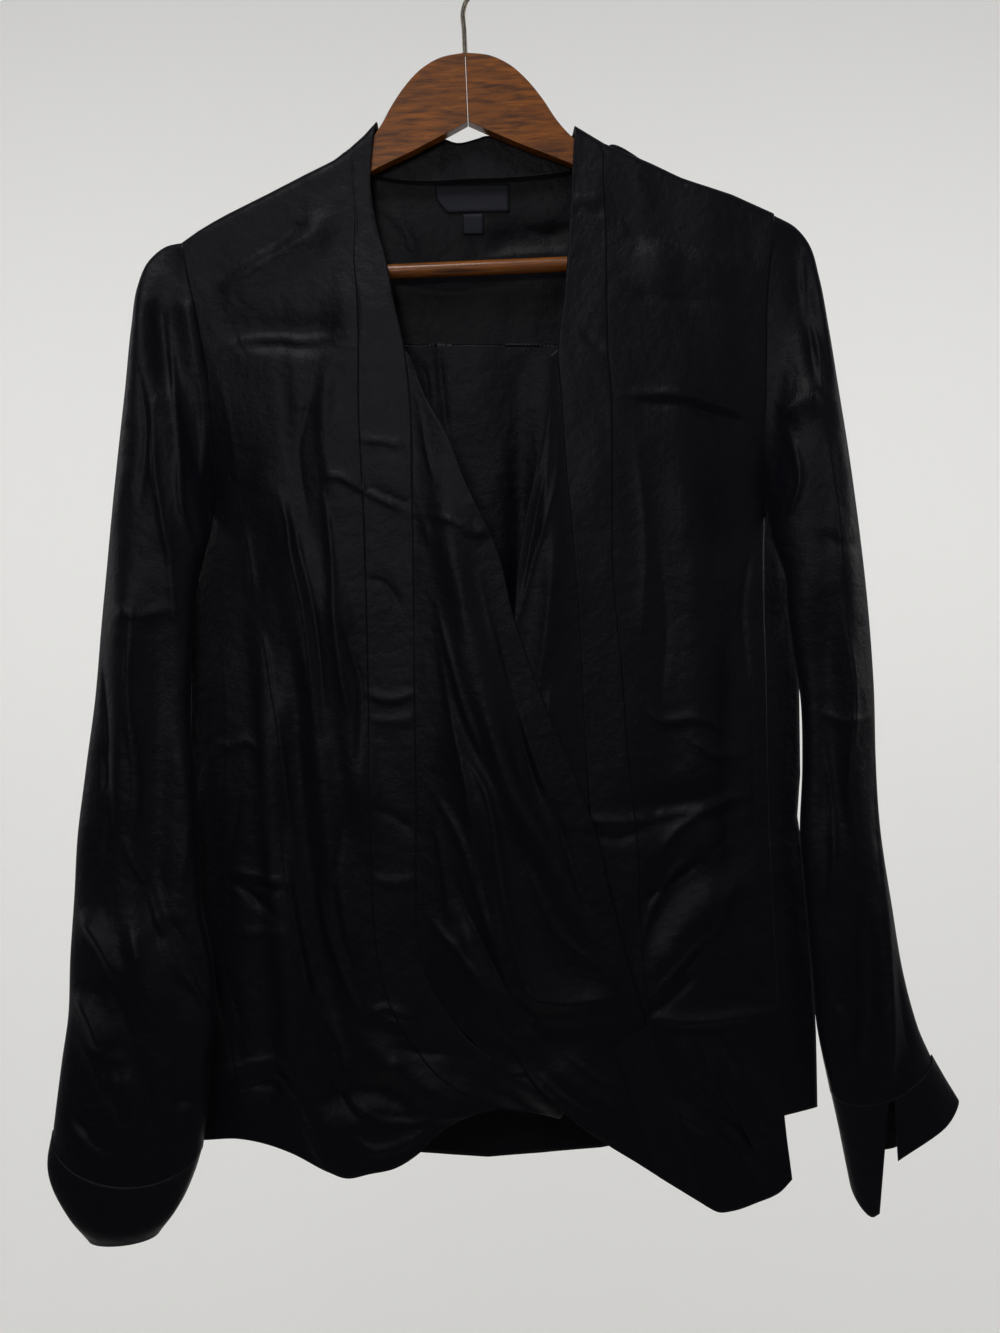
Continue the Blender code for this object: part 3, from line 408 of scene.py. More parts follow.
# %% Fronts, bands and wraps
# Fronts and bands, rung by rung: each rung is its points from the left edge to the right one.
LEFT_FRONT = [
    [(-194, 215), (-161, 194), (-133, 180), (-108, 167), (-88, 157), (-76, 148)],
    [(-192.5, 223), (-161, 202), (-133, 188), (-108, 175), (-88, 165), (-76, 157)],
    [(-191, 233), (-75, 174)], [(-188, 248), (-73, 200)], [(-184, 266), (-73.5, 228)],
    [(-180, 286), (-71, 258)], [(-176.5, 308), (-70, 292)], [(-174, 335), (-70, 327)],
    [(-172, 394), (-66.5, 396)], [(-177, 422), (-65.4, 423)], [(-184, 449), (-64.5, 450)],
    [(-187, 476), (-63.7, 476)], [(-188.5, 534), (-62.5, 533)], [(-186.7, 604), (-61, 601)],
    [(-183.2, 674), (-60, 656)], [(-181.5, 720), (-57, 703)], [(-181, 755), (-48, 741)],
    [(-181, 790), (-33, 768)], [(-181, 812), (-14, 790.5)],
    [(-181, 828), (-120, 831), (-77, 842), (-40, 829), (11, 806)],
    [(-181, 842), (-153, 838), (-117, 845), (-90, 857), (-77, 861), (-61, 858), (-44, 854),
     (-28, 844), (-13, 829), (8, 817), (30, 812.5)],
]
LEFT_BAND = [
    [(-76, 148), (-67, 140), (-58, 130)], [(-76, 157), (-59.5, 139)], [(-75, 174), (-62, 170)],
    [(-73, 200), (-58.5, 201)], [(-73.5, 228), (-51, 228)], [(-71, 258), (-45, 258)],
    [(-70, 292), (-37.5, 292)], [(-70, 327), (-33.5, 327)], [(-66.5, 396), (-31.5, 397)],
    [(-64, 465), (-30.5, 465)], [(-62.5, 533), (-30, 533)], [(-61, 601), (-29, 601)],
    [(-60, 656), (-29, 656)], [(-57, 703), (-28, 700)], [(-48, 741), (-19.5, 727)],
    [(-33, 768), (-6, 750)], [(-14, 790.5), (12, 770)], [(11, 806), (31.5, 782)],
    [(38, 814), (55, 790.5)], [(69, 819), (81, 799)],
]
RIGHT_BAND = [
    [(80, 133), (100, 145)], [(79.5, 141), (100, 154)], [(78.5, 162), (100, 172)],
    [(76.5, 198), (101.5, 200)], [(74.5, 228), (102, 231)], [(71.5, 263), (102, 263)],
    [(67.5, 292), (102.5, 292)], [(70, 327), (105, 327)], [(74, 383), (105, 383)],
    [(80, 445), (105.5, 445)], [(84, 520), (112, 520)], [(87, 581), (116.5, 581)],
    [(90.5, 635), (122.5, 635)], [(94, 690), (124.5, 690)], [(98.5, 737), (128.5, 737)],
    [(108, 778), (137, 778)], [(120.5, 816), (150.5, 816)], [(136.5, 860), (171, 882)],
]
RIGHT_FRONT = [
    [(100, 145), (133, 159), (154, 169), (190, 181), (219, 194)],
    [(100, 154), (133, 168), (154, 178), (190, 190), (218.5, 203)],
    [(100, 172), (218, 213)], [(101.5, 200), (216, 231)], [(102, 231), (214, 258)],
    [(102, 263), (213.7, 286)], [(102.5, 292), (213.5, 310)], [(105, 327), (213.3, 338)],
    [(105, 383), (213.3, 394)], [(105.5, 445), (211.5, 445)], [(112, 520), (212.7, 517)],
    [(116.5, 581), (213.6, 577)], [(122.5, 635), (215.5, 637)], [(124.5, 690), (218.2, 690)],
    [(128.5, 737), (220.6, 735)], [(137, 778), (222.4, 779)], [(150.5, 816), (224.8, 818)],
    [(171, 882), (179, 886), (188, 885.5), (205, 881), (222, 875), (231, 867)],
]
LEFT_WRAP = [
    [(-37, 293), (-33, 299)], [(-33.5, 327), (-23, 326)], [(-32.4, 350), (-9.5, 350)],
    [(-31.7, 384), (4, 384)], [(-31, 431), (26, 431)], [(-30.3, 479), (38, 479)],
    [(-30, 530), (56, 530)], [(-29, 581), (76, 578)], [(-29, 628), (94.5, 628)],
    [(-29, 669), (104, 669)], [(-28, 700), (113, 703)], [(-19.5, 727), (121, 732)],
    [(-6, 750), (50, 757), (124.5, 743)],
    [(12.8, 769), (23, 773.5), (36, 773), (52, 770.5), (77, 769), (97, 761), (127, 750)],
    [(14, 778), (26, 788), (42, 790), (60, 787), (82, 781), (100, 770), (128, 754)],
]
RIGHT_WRAP = [
    [(63, 297), (67.5, 292)], [(61, 327), (70, 327)], [(56, 357), (72.2, 355)],
    [(50, 387), (74.3, 387)], [(43, 421), (77.8, 421)], [(37, 479), (81.9, 479)],
    [(33, 533), (84.6, 533)], [(30, 601), (88.3, 601)], [(29.5, 669), (92.7, 669)],
    [(31.5, 737), (98.5, 737)], [(36, 770), (105.8, 770)], [(52, 795), (113.8, 796)],
    [(79, 820), (121.8, 820)], [(105, 839.5), (120, 849), (136.5, 860)],
]

# %% Back, yoke and neck band
# The stand band of the back neck, from its left end to its right: upper edge, then lower edge.
NECK_BAND = [
    [(-58, 130), (-76, 148)], [(-57, 134), (-76, 156)], [(-51, 137), (-70, 161.5)],
    [(-38, 138.5), (-56, 166)], [(-14, 138), (-19, 170)], [(0, 141.5), (4, 168.5)],
    [(12, 138.5), (16, 168)], [(18.5, 136.5), (26, 168)], [(32, 139.5), (40, 168)],
    [(56, 138), (64, 164.5)], [(72, 137), (86, 160)], [(78.5, 137), (98, 154)],
    [(80, 133), (100, 145)],
]
YOKE = [
    [(-194, 215), (-161, 194), (-133, 180), (-108, 167), (-90, 158), (-79, 150.5), (-78.5, 158),
     (-71.5, 163.5), (-57, 167.2), (-19, 170.4), (4, 169), (26, 168.4), (64.5, 165.2),
     (86.5, 161.3), (100.5, 156), (103, 147), (133, 159), (154, 169), (190, 181), (219, 194)],
    [(-191.5, 226), (-108, 190), (-60, 180), (4, 182), (86, 174), (154, 185), (218, 208)],
    [(-188, 248), (-70, 218), (4, 214), (90, 210), (216, 236)],
    [(-180.5, 284), (214, 284)],
]
YOKE_SEAM = 284

# The lower back's hem, from its left corner to its right one.
BACK_HEM = [
    (-181, 838), (-120, 848), (-24, 858), (20, 861), (100, 854), (180, 838), (226, 822),
    (250, 819),
]

# %% Laying a piece
def spread(points, count):
    """Points at even steps along the smooth curve through a rung's own points."""
    points = np.array(points, float)
    steps = np.linalg.norm(np.diff(points, axis=0), axis=-1)
    reach = np.concatenate([[0], np.cumsum(steps)])
    if len(points) == 2:
        return points[0] + np.linspace(0, 1, count)[:, None] * (points[1] - points[0])
    return through(reach, points, np.linspace(0, reach[-1], count))


def inset(points, left, right):
    """A rung with its ends drawn in along itself, for the room that a seam leaves."""
    points = [np.array(point, float) for point in points]
    first, last = points[1] - points[0], points[-2] - points[-1]
    points[0] = points[0] + first / np.hypot(*first) * left
    points[-1] = points[-1] + last / np.hypot(*last) * right
    return points


def lay(rungs, columns, rows, left=0, right=0, first=(0,), last=(0,)):
    """The grid of places of one flat piece: rungs down the piece, columns across it.

    first and last are the close steps, in millimetres, that its two ends have."""
    sections = np.array([spread(inset(rung, left, right), columns + 1) for rung in rungs])
    steps = np.hypot(*np.moveaxis(np.diff(sections, axis=0), -1, 0)).mean(axis=1)
    reach = np.concatenate([[0], np.cumsum(steps)])
    even = np.linspace(first[-1], reach[-1] - last[-1], rows + 1)[1:-1]
    return through(reach, sections, np.concatenate([first, even, reach[-1] - np.array(last)[::-1]]))


# %% Fronts and backs in space
def in_front(places, lift=0.0):
    x, drop = places[..., 0], places[..., 1]
    return np.stack([x, -depth(x, drop, "front") - lift, -drop], axis=-1)


def behind(places, lift=0.0):
    x, drop = places[..., 0], places[..., 1]
    return np.stack([x, depth(x, drop, "back") + lift, -drop], axis=-1)


def sewn_on_top(points, rows=(0,)):
    """The rows that lie on the shoulder seam, drawn in to where front and back meet."""
    for row in rows:
        points[row, :, 1] = np.sign(points[row, :, 1]) * EDGE
    return points


WRAP_SETTLES = 0.1  # the last share of a wrap's length, in which it settles into the twist
END_RISE, END_FOLDS = 0.25, 0.4  # shares of a wrap's rise and of its folds that its end keeps


def wrap_lift(places, wall, rise, run, from_left):
    """A wrap leaves its band's edge and rises over what it crosses."""
    seam = places[:, :1] if from_left else places[:, -1:]
    away = np.hypot(*np.moveaxis(places - seam, -1, 0))
    ramp = smoothstep(away / run)
    folds = fold_heights(FOLDS, wall, places[..., 0], places[..., 1])
    to_end = smoothstep(np.arange(len(places))[::-1, None] / len(places) / WRAP_SETTLES)
    rise = (END_RISE + (1 - END_RISE) * to_end) * rise
    return ramp * (rise + (END_FOLDS + (1 - END_FOLDS) * to_end) * folds)


# %% [markdown]
# A sleeve is a tube of flattened rings. The first ring is the armhole itself, so the sleeve
# hangs from the same seam as the body, and the last is sewn to the cuff.

# %% Sleeves and cuffs
# Rings of a sleeve from armhole to cuff: outer x and drop, inner x and drop, then the depth in
# front of and behind the ring's middle plane, where that plane lies, and the ring's sag.
LEFT_SLEEVE = [
    (-206.5, 218, -171.5, 399, 9, 8, -1, 0), (-217, 228, -172.5, 405, 10, 7, -3, 0),
    (-224, 246, -173, 412, 12, 6, -6, 0), (-227.5, 275, -174, 421, 14, 6, -9, 0),
    (-231, 315, -177, 434, 16, 7, -11, 0), (-236, 367, -181, 451, 17, 8, -13, 0),
    (-241, 423, -182.5, 474, 17, 9, -15, 0), (-246, 482, -184.5, 506, 17, 10, -17, 0),
    (-250, 534, -185, 547, 17, 11, -19, 0), (-256, 582, -180.5, 590, 17, 12, -21, 0),
    (-261, 627, -178.5, 632, 17, 12, -23, 0), (-263, 674, -176, 674, 18, 13, -25, 0),
    (-265, 711, -168.5, 711, 19, 14, -27, 0), (-266, 748, -166, 748, 19, 14, -28, 0),
    (-270, 777, -169.5, 778, 20, 15, -28, 4), (-274, 807, -171.7, 807, 20, 15, -28, 14),
    (-277, 830, -175, 834, 18, 15, -28, 31),
]
RIGHT_SLEEVE = [
    (234.5, 204, 213.5, 399, 9, 8, -1, 0), (243.5, 216, 214.5, 405, 10, 7, -3, 0),
    (250, 240, 215.5, 412, 11, 6, -6, 0), (256, 276, 217, 421, 13, 6, -9, 0),
    (263, 323, 221, 433, 15, 7, -11, 0), (269.5, 367, 225.5, 448, 16, 8, -12, 0),
    (275, 408, 226.5, 468, 16, 9, -13, 0), (281.5, 464, 230.5, 497, 15, 10, -13, 0),
    (285.5, 520, 236.3, 534, 15, 11, -14, 0), (287, 572, 237.5, 579, 15, 12, -14, 0),
    (290.5, 624, 235.8, 628, 15, 12, -14, 0), (298, 676, 239.5, 678, 15, 12, -15, 0),
    (305.5, 720, 243.5, 720, 15, 12, -15, 0), (315, 756, 247, 757, 15, 12, -15, 6),
    (326.5, 782, 257, 803, 14, 12, -12, 17),
]
SLEEVE_FOLDS = [
    ("left", -5, 9, [(-210, 254), (-207, 282), (-201, 331)]),
    ("left", 4, 9, [(-190, 254), (-184, 275), (-181, 324)]),
    ("left", 4, 12, [(-228, 430), (-230, 540), (-234, 640)]),
    ("left", -5, 12, [(-205, 440), (-204, 560), (-205, 640), (-204, 690)]),
    ("left", -5, 9, [(-204, 680), (-192, 696), (-181, 720), (-171, 747)]),
    ("left", 5, 9, [(-220, 686), (-212, 715), (-200, 750)]),
    ("left", 5, 10, [(-258, 674), (-240, 698), (-226, 730)]),
    ("left", 5, 9, [(-260, 728), (-246, 752), (-238, 771)]),
    ("left", 5, 8, [(-228, 778), (-224, 805), (-219, 820)]),
    ("left", -5, 8, [(-257, 804), (-247, 818), (-229, 804)]),
    ("left", -4, 8, [(-190, 780), (-186, 812)]),
    ("right", -5, 9, [(238, 222), (241, 260), (248, 292), (251, 326)]),
    ("right", 4, 9, [(224, 340), (234, 331), (250, 324)]),
    ("right", 4, 10, [(262, 380), (266, 470), (270, 560), (268, 640)]),
    ("right", -4, 10, [(250, 470), (254, 560), (256, 640)]),
    ("right", 5, 8, [(290, 640), (293, 720), (294, 790)]),
    ("right", -4, 8, [(276, 660), (278, 730), (276, 790)]),
]

# The left cuff is buttoned: rings below its sleeve's last one. The right cuff hangs open: its
# strip runs from one side of the slit round the wrist to the other. A row is the turn in degrees
# from the sleeve's outer edge, and the lower edge's x, drop and y there.
LEFT_CUFF = [
    (-280, 850, -180, 850, 18, 15, -28, 27), (-269, 874, -189, 871, 17, 14, -28, 21),
    (-252.5, 901, -204.5, 896, 11, 10, -28, 4),
]
RIGHT_CUFF = [
    (86, 290.5, 889, -14), (112, 284.5, 891, -15), (145, 276, 882, -12), (180, 271.5, 867, -5),
    (215, 276.5, 847, 4), (270, 300.5, 850, 5), (320, 321, 839, 3), (360, 346, 812, -7),
    (400, 335.5, 828.5, -17), (440, 301, 850, -23),
]


# %% Rings in space
def ring(row, angle):
    """A flattened oval from a row of a sleeve's table, at the given turns from its outer edge."""
    outer_x, outer_drop, inner_x, inner_drop, fore, aft, middle, sag = row
    share, swell = (1 - np.cos(angle)) / 2, np.sin(angle)
    x = outer_x + share * (inner_x - outer_x)
    drop = outer_drop + share * (inner_drop - outer_drop) + sag * np.abs(swell)
    y = middle - np.where(swell >= 0, fore, -aft) * np.abs(swell) ** 0.8
    return np.stack([x, y, -drop], axis=-1)


def sleeve_places(rings, turns, rows, side, folds_of):
    """A sleeve's grid: the armhole ring first, then the table's rings."""
    angle = 2 * math.pi * np.arange(turns) / turns
    share, round_of = (1 - np.cos(angle)) / 2, np.sin(angle)
    top = 194 if side == 2 else 215
    drop = top + share * (UNDERARM - top)
    seam = level(SIDES, side, drop)
    out = 1 if side == 2 else -1
    halves = np.where(round_of >= 0, -depth(seam, drop, "front"), depth(seam, drop, "back"))
    armhole = np.stack([seam - out * TUCK, halves * ARMHOLE_SHARE, -drop], axis=-1)
    sections = np.array([armhole] + [ring(row, angle) for row in rings])
    steps = np.linalg.norm(np.diff(sections, axis=0), axis=-1).mean(axis=1)
    reach = np.concatenate([[0], np.cumsum(steps)])
    points = through(reach, sections, np.linspace(0, reach[-1], rows + 1))
    from_end = np.minimum(np.arange(rows + 1), rows - np.arange(rows + 1))
    fade = smoothstep(from_end / 2)[:, None] * np.clip(round_of, 0, 1) ** 0.7
    folds = fold_heights(SLEEVE_FOLDS, folds_of, points[..., 0], -points[..., 2])
    points[..., 1] -= folds * fade
    return points


def over_end(row, angle):
    """A cuff's first ring: a little wider than the sleeve's last one, and reaching up over it."""
    last = ring(row, angle)
    return last + (last - last.mean(axis=0)) * CUFF_EASE + (0, 0, TUCK)


def left_cuff_places(turns, rows):
    angle = 2 * math.pi * np.arange(turns) / turns
    seam = over_end(LEFT_SLEEVE[-1], angle)
    sections = np.array([seam] + [ring(row, angle) for row in LEFT_CUFF])
    return through(np.arange(len(sections)), sections, np.linspace(0, len(sections) - 1, rows + 1))


def right_cuff_places(columns, rows):
    """The open cuff's strip, from the sleeve's last ring down to its own lower edge."""
    table = np.array(RIGHT_CUFF, float)
    turn = np.linspace(table[0, 0], table[-1, 0], columns + 1)
    upper = over_end(RIGHT_SLEEVE[-1], np.radians(turn))
    lower = through(table[:, 0], table[:, [1, 3, 2]], turn) * (1, 1, -1)
    return upper + np.linspace(0, 1, rows + 1)[:, None, None] * (lower - upper)


def back_places(across, turned, above, below):
    """The lower back, and the strip of it that turns round the right edge to the seam in front.

    The strip starts at the underarm, so above that its places hold nothing."""
    hem = np.array(BACK_HEM, float)
    top = YOKE_SEAM - TUCK
    drops = np.concatenate(
        [np.linspace(top, UNDERARM, above + 1)[:-1], np.linspace(UNDERARM, BACK_LENGTH, below + 1)]
    )
    points = np.full((above + below + 1, across + turned + 1, 3), np.nan)
    for row, drop in enumerate(drops):
        left, right = level(SIDES, 1, drop), level(SIDES, 2, drop)
        x = np.linspace(left, right, across + 1)
        if row >= above:
            seam = level(RIGHT_SIDE_SEAM, 1, drop) - TUCK
            x = np.concatenate([x, np.linspace(right, seam, turned + 1)[1:]])
        reach = np.interp(x, hem[:, 0], hem[:, 1]) - UNDERARM
        lower = drop + max(drop - UNDERARM, 0) * (reach / (BACK_LENGTH - UNDERARM) - 1)
        y = depth(x, lower, "back")
        y[across + 1 :] = TURNED_LIFT - depth(x, lower, "front")[across + 1 :]
        points[row, : len(x)] = np.stack([x, y, -lower], axis=-1)
    return points


# %% [markdown]
# Colours are picked as hex values, as a designer would read them from a swatch, and one
# function turns them into the linear light that a shader works in.

# %% Colour and node helpers
def light_of(hex_colour):
    values = [int(hex_colour[at : at + 2], 16) / 255 for at in (1, 3, 5)]
    linear = [v / 12.92 if v <= 0.04045 else ((v + 0.055) / 1.055) ** 2.4 for v in values]
    return (*linear, 1)


def set_inputs(tree, node, **inputs):
    """Give each input a value, or a link from another node's output."""
    for name, value in inputs.items():
        socket = node.inputs[name.replace("_", " ")]
        if isinstance(value, bpy.types.NodeSocket):
            tree.links.new(value, socket)
        else:
            socket.default_value = value


def add_node(tree, kind, settings=None, **inputs):
    """One node with its settings and its inputs."""
    node = tree.nodes.new(kind)
    for name, value in (settings or {}).items():
        setattr(node, name, value)
    set_inputs(tree, node, **inputs)
    return node


def noise_of(tree, place, size, detail, settings=None, per=1, **inputs):
    """A noise texture whose cells are about size millimetres across."""
    return add_node(
        tree, "ShaderNodeTexNoise", settings, Vector=place, Scale=per / (size * MM), Detail=detail,
        **inputs,
    )


def bump_of(tree, height, strength, distance, **inputs):
    return add_node(
        tree, "ShaderNodeBump", Height=height.outputs["Fac"], Strength=strength, Distance=distance,
        **inputs,
    )


def mix_of(tree, first, second, share):
    """A mix of two colours, by the share that another node gives."""
    colours = {"Color1": light_of(first), "Color2": light_of(second)}
    return add_node(tree, "ShaderNodeMixRGB", **colours, Fac=share.outputs["Fac"])


def new_material(name):
    made = bpy.data.materials.new(name)
    made.use_nodes = True
    return made, made.node_tree, made.node_tree.nodes["Principled BSDF"]


# %% [markdown]
# The cloth is silk satin that was sandwashed: tumbling with fine grit roughens the surface, so
# it reads as a deep black with a soft grey bloom and no sharp highlight. Threads are about
# 0.1 mm apart, far too fine to show, so the weave is drawn at 0.7 mm. A slow, uneven
# crumple of about 9 mm comes from the washing, and pressed creases about 48 mm apart, which
# run more down the cloth than across it, from lying folded.

# %% Sandwashed silk
THREAD_MM = 0.7
CRUMPLE_MM = 9
BLOOM_MM = 60
PRESSED_MM = 48


def sandwashed_silk(name, dark, pale, roughness):
    made, tree, shader = new_material(name)
    place = add_node(tree, "ShaderNodeTexCoord").outputs["Object"]
    bloom = noise_of(tree, place, BLOOM_MM, 5.0, Roughness=0.6)
    tint = mix_of(tree, dark, pale, bloom)
    crumple = noise_of(tree, place, CRUMPLE_MM, 4.0, Roughness=0.55)
    weave = noise_of(tree, place, THREAD_MM, 2.0)
    rough = add_node(
        tree, "ShaderNodeMapRange", Value=crumple.outputs["Fac"],
        To_Min=roughness - 0.05, To_Max=roughness + 0.07,
    )
    hung_way = add_node(tree, "ShaderNodeMapping", Vector=place, Scale=(1, 1, 0.42))
    pressed = noise_of(
        tree, hung_way.outputs["Vector"], PRESSED_MM, 2.0, {"noise_type": "RIDGED_MULTIFRACTAL"},
        Distortion=0.6,
    )
    lines = bump_of(tree, pressed, 0.8, 0.003)
    slow = bump_of(tree, crumple, 0.5, 0.0018, Normal=lines.outputs["Normal"])
    fine = bump_of(tree, weave, 0.6, 0.0003, Normal=slow.outputs["Normal"])
    set_inputs(
        tree, shader, Base_Color=tint.outputs["Color"], Roughness=rough.outputs["Result"],
        Normal=fine.outputs["Normal"], Sheen_Weight=0.03, Sheen_Roughness=0.45,
        Sheen_Tint=light_of("#b9b6c4"), IOR=1.54, Specular_IOR_Level=0.07,
    )
    return made


silk = sandwashed_silk("sandwashed_silk", "#030306", "#08080e", 0.43)
band_silk = sandwashed_silk("sandwashed_silk_band", "#040407", "#0a0a10", 0.42)
inside_silk = sandwashed_silk("sandwashed_silk_inside", "#030305", "#07070c", 0.47)

# %% [markdown]
# The label is a dense black satin tape. It is left bare, with only its ribbed weave. Its colour
# is partly the tape's own and partly a painted satin sheen, and its ribs are painted lighter on
# their crests and darker in their grooves: painted light and shade.

# %% Label tape
RIB_MM = 0.8
BAND_OF_WAVE = 0.31  # metres from band to band in a wave texture of scale 1


def label_tape():
    made, tree, shader = new_material("woven_label_tape")
    place = add_node(tree, "ShaderNodeTexCoord").outputs["Object"]
    ribs_with_painted_shade = add_node(
        tree, "ShaderNodeTexWave", {"bands_direction": "Z"},
        Vector=place, Scale=BAND_OF_WAVE / (RIB_MM * MM),
    )
    # painted sheen and painted shade: the tape is paler than its own black, lighter where the ribs
    # rise and darker in their grooves
    tint = mix_of(tree, "#0c0d12", "#1a1b22", ribs_with_painted_shade)
    bump = bump_of(tree, ribs_with_painted_shade, 0.4, 0.0002)
    set_inputs(
        tree, shader, Base_Color=tint.outputs["Color"], Normal=bump.outputs["Normal"],
        Roughness=0.45, Specular_IOR_Level=0.08,
    )
    return made


tape = label_tape()

# %% [markdown]
# The hanger is a close-grained hardwood, stained red-brown and lacquered. The stain is darker
# in the pores, and the lacquer is a clear glossy coat over it.

# %% Lacquered wood
GRAIN_MM = 3.2


def lacquered_wood(name, stretch):
    """stretch is how much longer the grain is along each axis of the piece."""
    made, tree, shader = new_material(name)
    place = add_node(tree, "ShaderNodeTexCoord").outputs["Object"]
    along = add_node(tree, "ShaderNodeMapping", Vector=place, Scale=stretch).outputs["Vector"]
    stain = noise_of(tree, along, GRAIN_MM, 4.0, per=0.35)
    grain = noise_of(tree, along, GRAIN_MM, 7.0, Roughness=0.62, Distortion=0.4)
    ramp = add_node(tree, "ShaderNodeValToRGB", Fac=grain.outputs["Fac"])
    stops = ramp.color_ramp.elements
    stops[0].position, stops[0].color = 0.32, light_of("#3a1b03")
    stops[1].position, stops[1].color = 0.7, light_of("#864a0c")
    mixed = add_node(
        tree, "ShaderNodeMixRGB", {"blend_type": "MULTIPLY"},
        Fac=0.35, Color1=ramp.outputs["Color"], Color2=stain.outputs["Fac"],
    )
    bump = bump_of(tree, grain, 0.12, 0.0003)
    set_inputs(
        tree, shader, Base_Color=mixed.outputs["Color"], Normal=bump.outputs["Normal"],
        Roughness=0.42, IOR=1.5, Specular_IOR_Level=0.2, Coat_Weight=0.12, Coat_Roughness=0.09,
    )
    return made


arm_wood = lacquered_wood("lacquered_wood_arm", (0.14, 1, 1))
bar_wood = lacquered_wood("lacquered_wood_bar", (0.08, 1, 1))

# %% [markdown]
# The hook is drawn steel wire with a darkened, slightly worn plating. Its dark colour is partly the
# plating's own and partly a painted reflection of the dark surroundings.

# %% Hook wire
WEAR_MM = 2.5


def plated_wire_with_painted_reflection():
    made, tree, shader = new_material("plated_wire_with_painted_reflection")
    place = add_node(tree, "ShaderNodeTexCoord").outputs["Object"]
    wear = noise_of(tree, place, WEAR_MM, 6.0)
    # painted reflection: the dark metal colour stands in for dark surroundings reflected in the
    # wire, over the plating's own tone and its random wear
    tint = mix_of(tree, "#4a443c", "#8f887c", wear)
    rough = add_node(
        tree, "ShaderNodeMapRange", Value=wear.outputs["Fac"], To_Min=0.2, To_Max=0.42
    )
    set_inputs(
        tree, shader, Base_Color=tint.outputs["Color"], Roughness=rough.outputs["Result"],
        Metallic=1.0,
    )
    return made


wire = plated_wire_with_painted_reflection()

# %% [markdown]
# A shell is an open grid of faces with a thickness. Each one rides on the model's one body and
# takes the place of its coarse solid.

# %% Making a shell
WAVER_MM = 0.8  # height of the cloth's own slow unevenness
WAVER_SIZE = 26  # millimetres from one swell to the next, roughly
SETTLED_ROWS = 12  # rows at each end of a piece in which the swell fades into the seam


def waver(points):
    """Slow uneven swell over a piece, the same on every run."""
    flat = points.reshape(-1, 3) / WAVER_SIZE
    swell = [noise.noise(Vector((x, y, z * 0.55))) for x, y, z in flat]
    return np.array(swell).reshape(points.shape[:2]) * WAVER_MM


def placed(name, data):
    """An object with the given data, put into the scene."""
    made = bpy.data.objects.new(name, data)
    bpy.context.scene.collection.objects.link(made)
    return made


def filled_in(mesh, shape):
    """Write the faces to the mesh, with double points joined and normals outward. Their area."""
    bmesh.ops.remove_doubles(shape, verts=shape.verts, dist=SAME_PLACE * MM)
    bmesh.ops.recalc_face_normals(shape, faces=shape.faces)
    area = sum(face.calc_area() for face in shape.faces)
    shape.to_mesh(mesh)
    shape.free()
    return area


def shell(
    name, node, points, made,
    closed=False, thick=SILK_THICK, out=-1,
):
    """One piece of cloth from its grid of points. out is the side, along Y, that its face is on."""
    columns = points.shape[1]
    across = np.linspace(0, 1, columns)
    fade = smoothstep(np.minimum(across, 1 - across) * 8) if not closed else np.ones(columns)
    rows = np.arange(len(points))[:, None]
    fade = fade * smoothstep(np.minimum(rows, rows[::-1]) / SETTLED_ROWS)
    points = points.copy()
    filled = np.isfinite(points).all(axis=-1)
    points[..., 1] += out * waver(np.nan_to_num(points)) * fade
    mesh = bpy.data.meshes.new(name)
    shape = bmesh.new()
    grid = [
        [shape.verts.new(Vector(point) * MM) if full else None for point, full in zip(*row)]
        for row in zip(points, filled)
    ]
    turns = columns if closed else columns - 1
    for row in range(points.shape[0] - 1):
        for turn in range(turns):
            ahead = (turn + 1) % columns
            corners = (grid[row][turn], grid[row + 1][turn], grid[row + 1][ahead], grid[row][ahead])
            if None not in corners:
                shape.faces.new(corners)
    measured = filled_in(mesh, shape)
    mesh.shade_smooth()
    mesh.materials.append(made)
    piece = placed(name, mesh)
    wall = piece.modifiers.new("thickness", "SOLIDIFY")
    wall.thickness, wall.offset = thick * MM, 0
    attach(piece, "root")
    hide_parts(node)
    print(name, "cloth area", round(measured, 4), "m2")
    return piece


# %% [markdown]
# The two side fronts hang from the shoulders, and the bands from the neck.

# %% Fronts and bands
CREASE_HEIGHT, SLEEVE_CREASE_HEIGHT, CREASE_NARROW = 1.15, 1.3, 0.75  # shares of the tables' values
OVER_ARM = (0, 0.6, 1.4, 2.6, 4.2, 6.2, 9)  # close steps, for the turn over the hanger

for folds, creases, taller in (
    (FOLDS, CREASES, CREASE_HEIGHT), (SLEEVE_FOLDS, SLEEVE_CREASES, SLEEVE_CREASE_HEIGHT)
):
    folds.extend(
        (wall, taller * high, CREASE_NARROW * wide, line) for wall, high, wide, line in creases
    )


def front_piece(rungs, columns, rows, left=0, right=0, lift=0.0):
    """A piece that hangs down the front from the shoulder seam or from the neck."""
    return sewn_on_top(in_front(lay(rungs, columns, rows, left, right, OVER_ARM), lift))


shell("silk_left_front", "left_front", front_piece(LEFT_FRONT, 84, 290, right=-TUCK), silk)
shell("silk_left_band", "left_band", front_piece(LEFT_BAND, 20, 300, lift=BAND_LIFT), band_silk)
shell("silk_right_band", "right_band", front_piece(RIGHT_BAND, 20, 300, lift=BAND_LIFT), band_silk)
shell("silk_right_front", "right_front", front_piece(RIGHT_FRONT, 70, 300, left=-TUCK), silk)

# %% [markdown]
# The two wraps cross under the neck. The upper one stands in front of the bands and falls in
# a deep drape down to the twist.

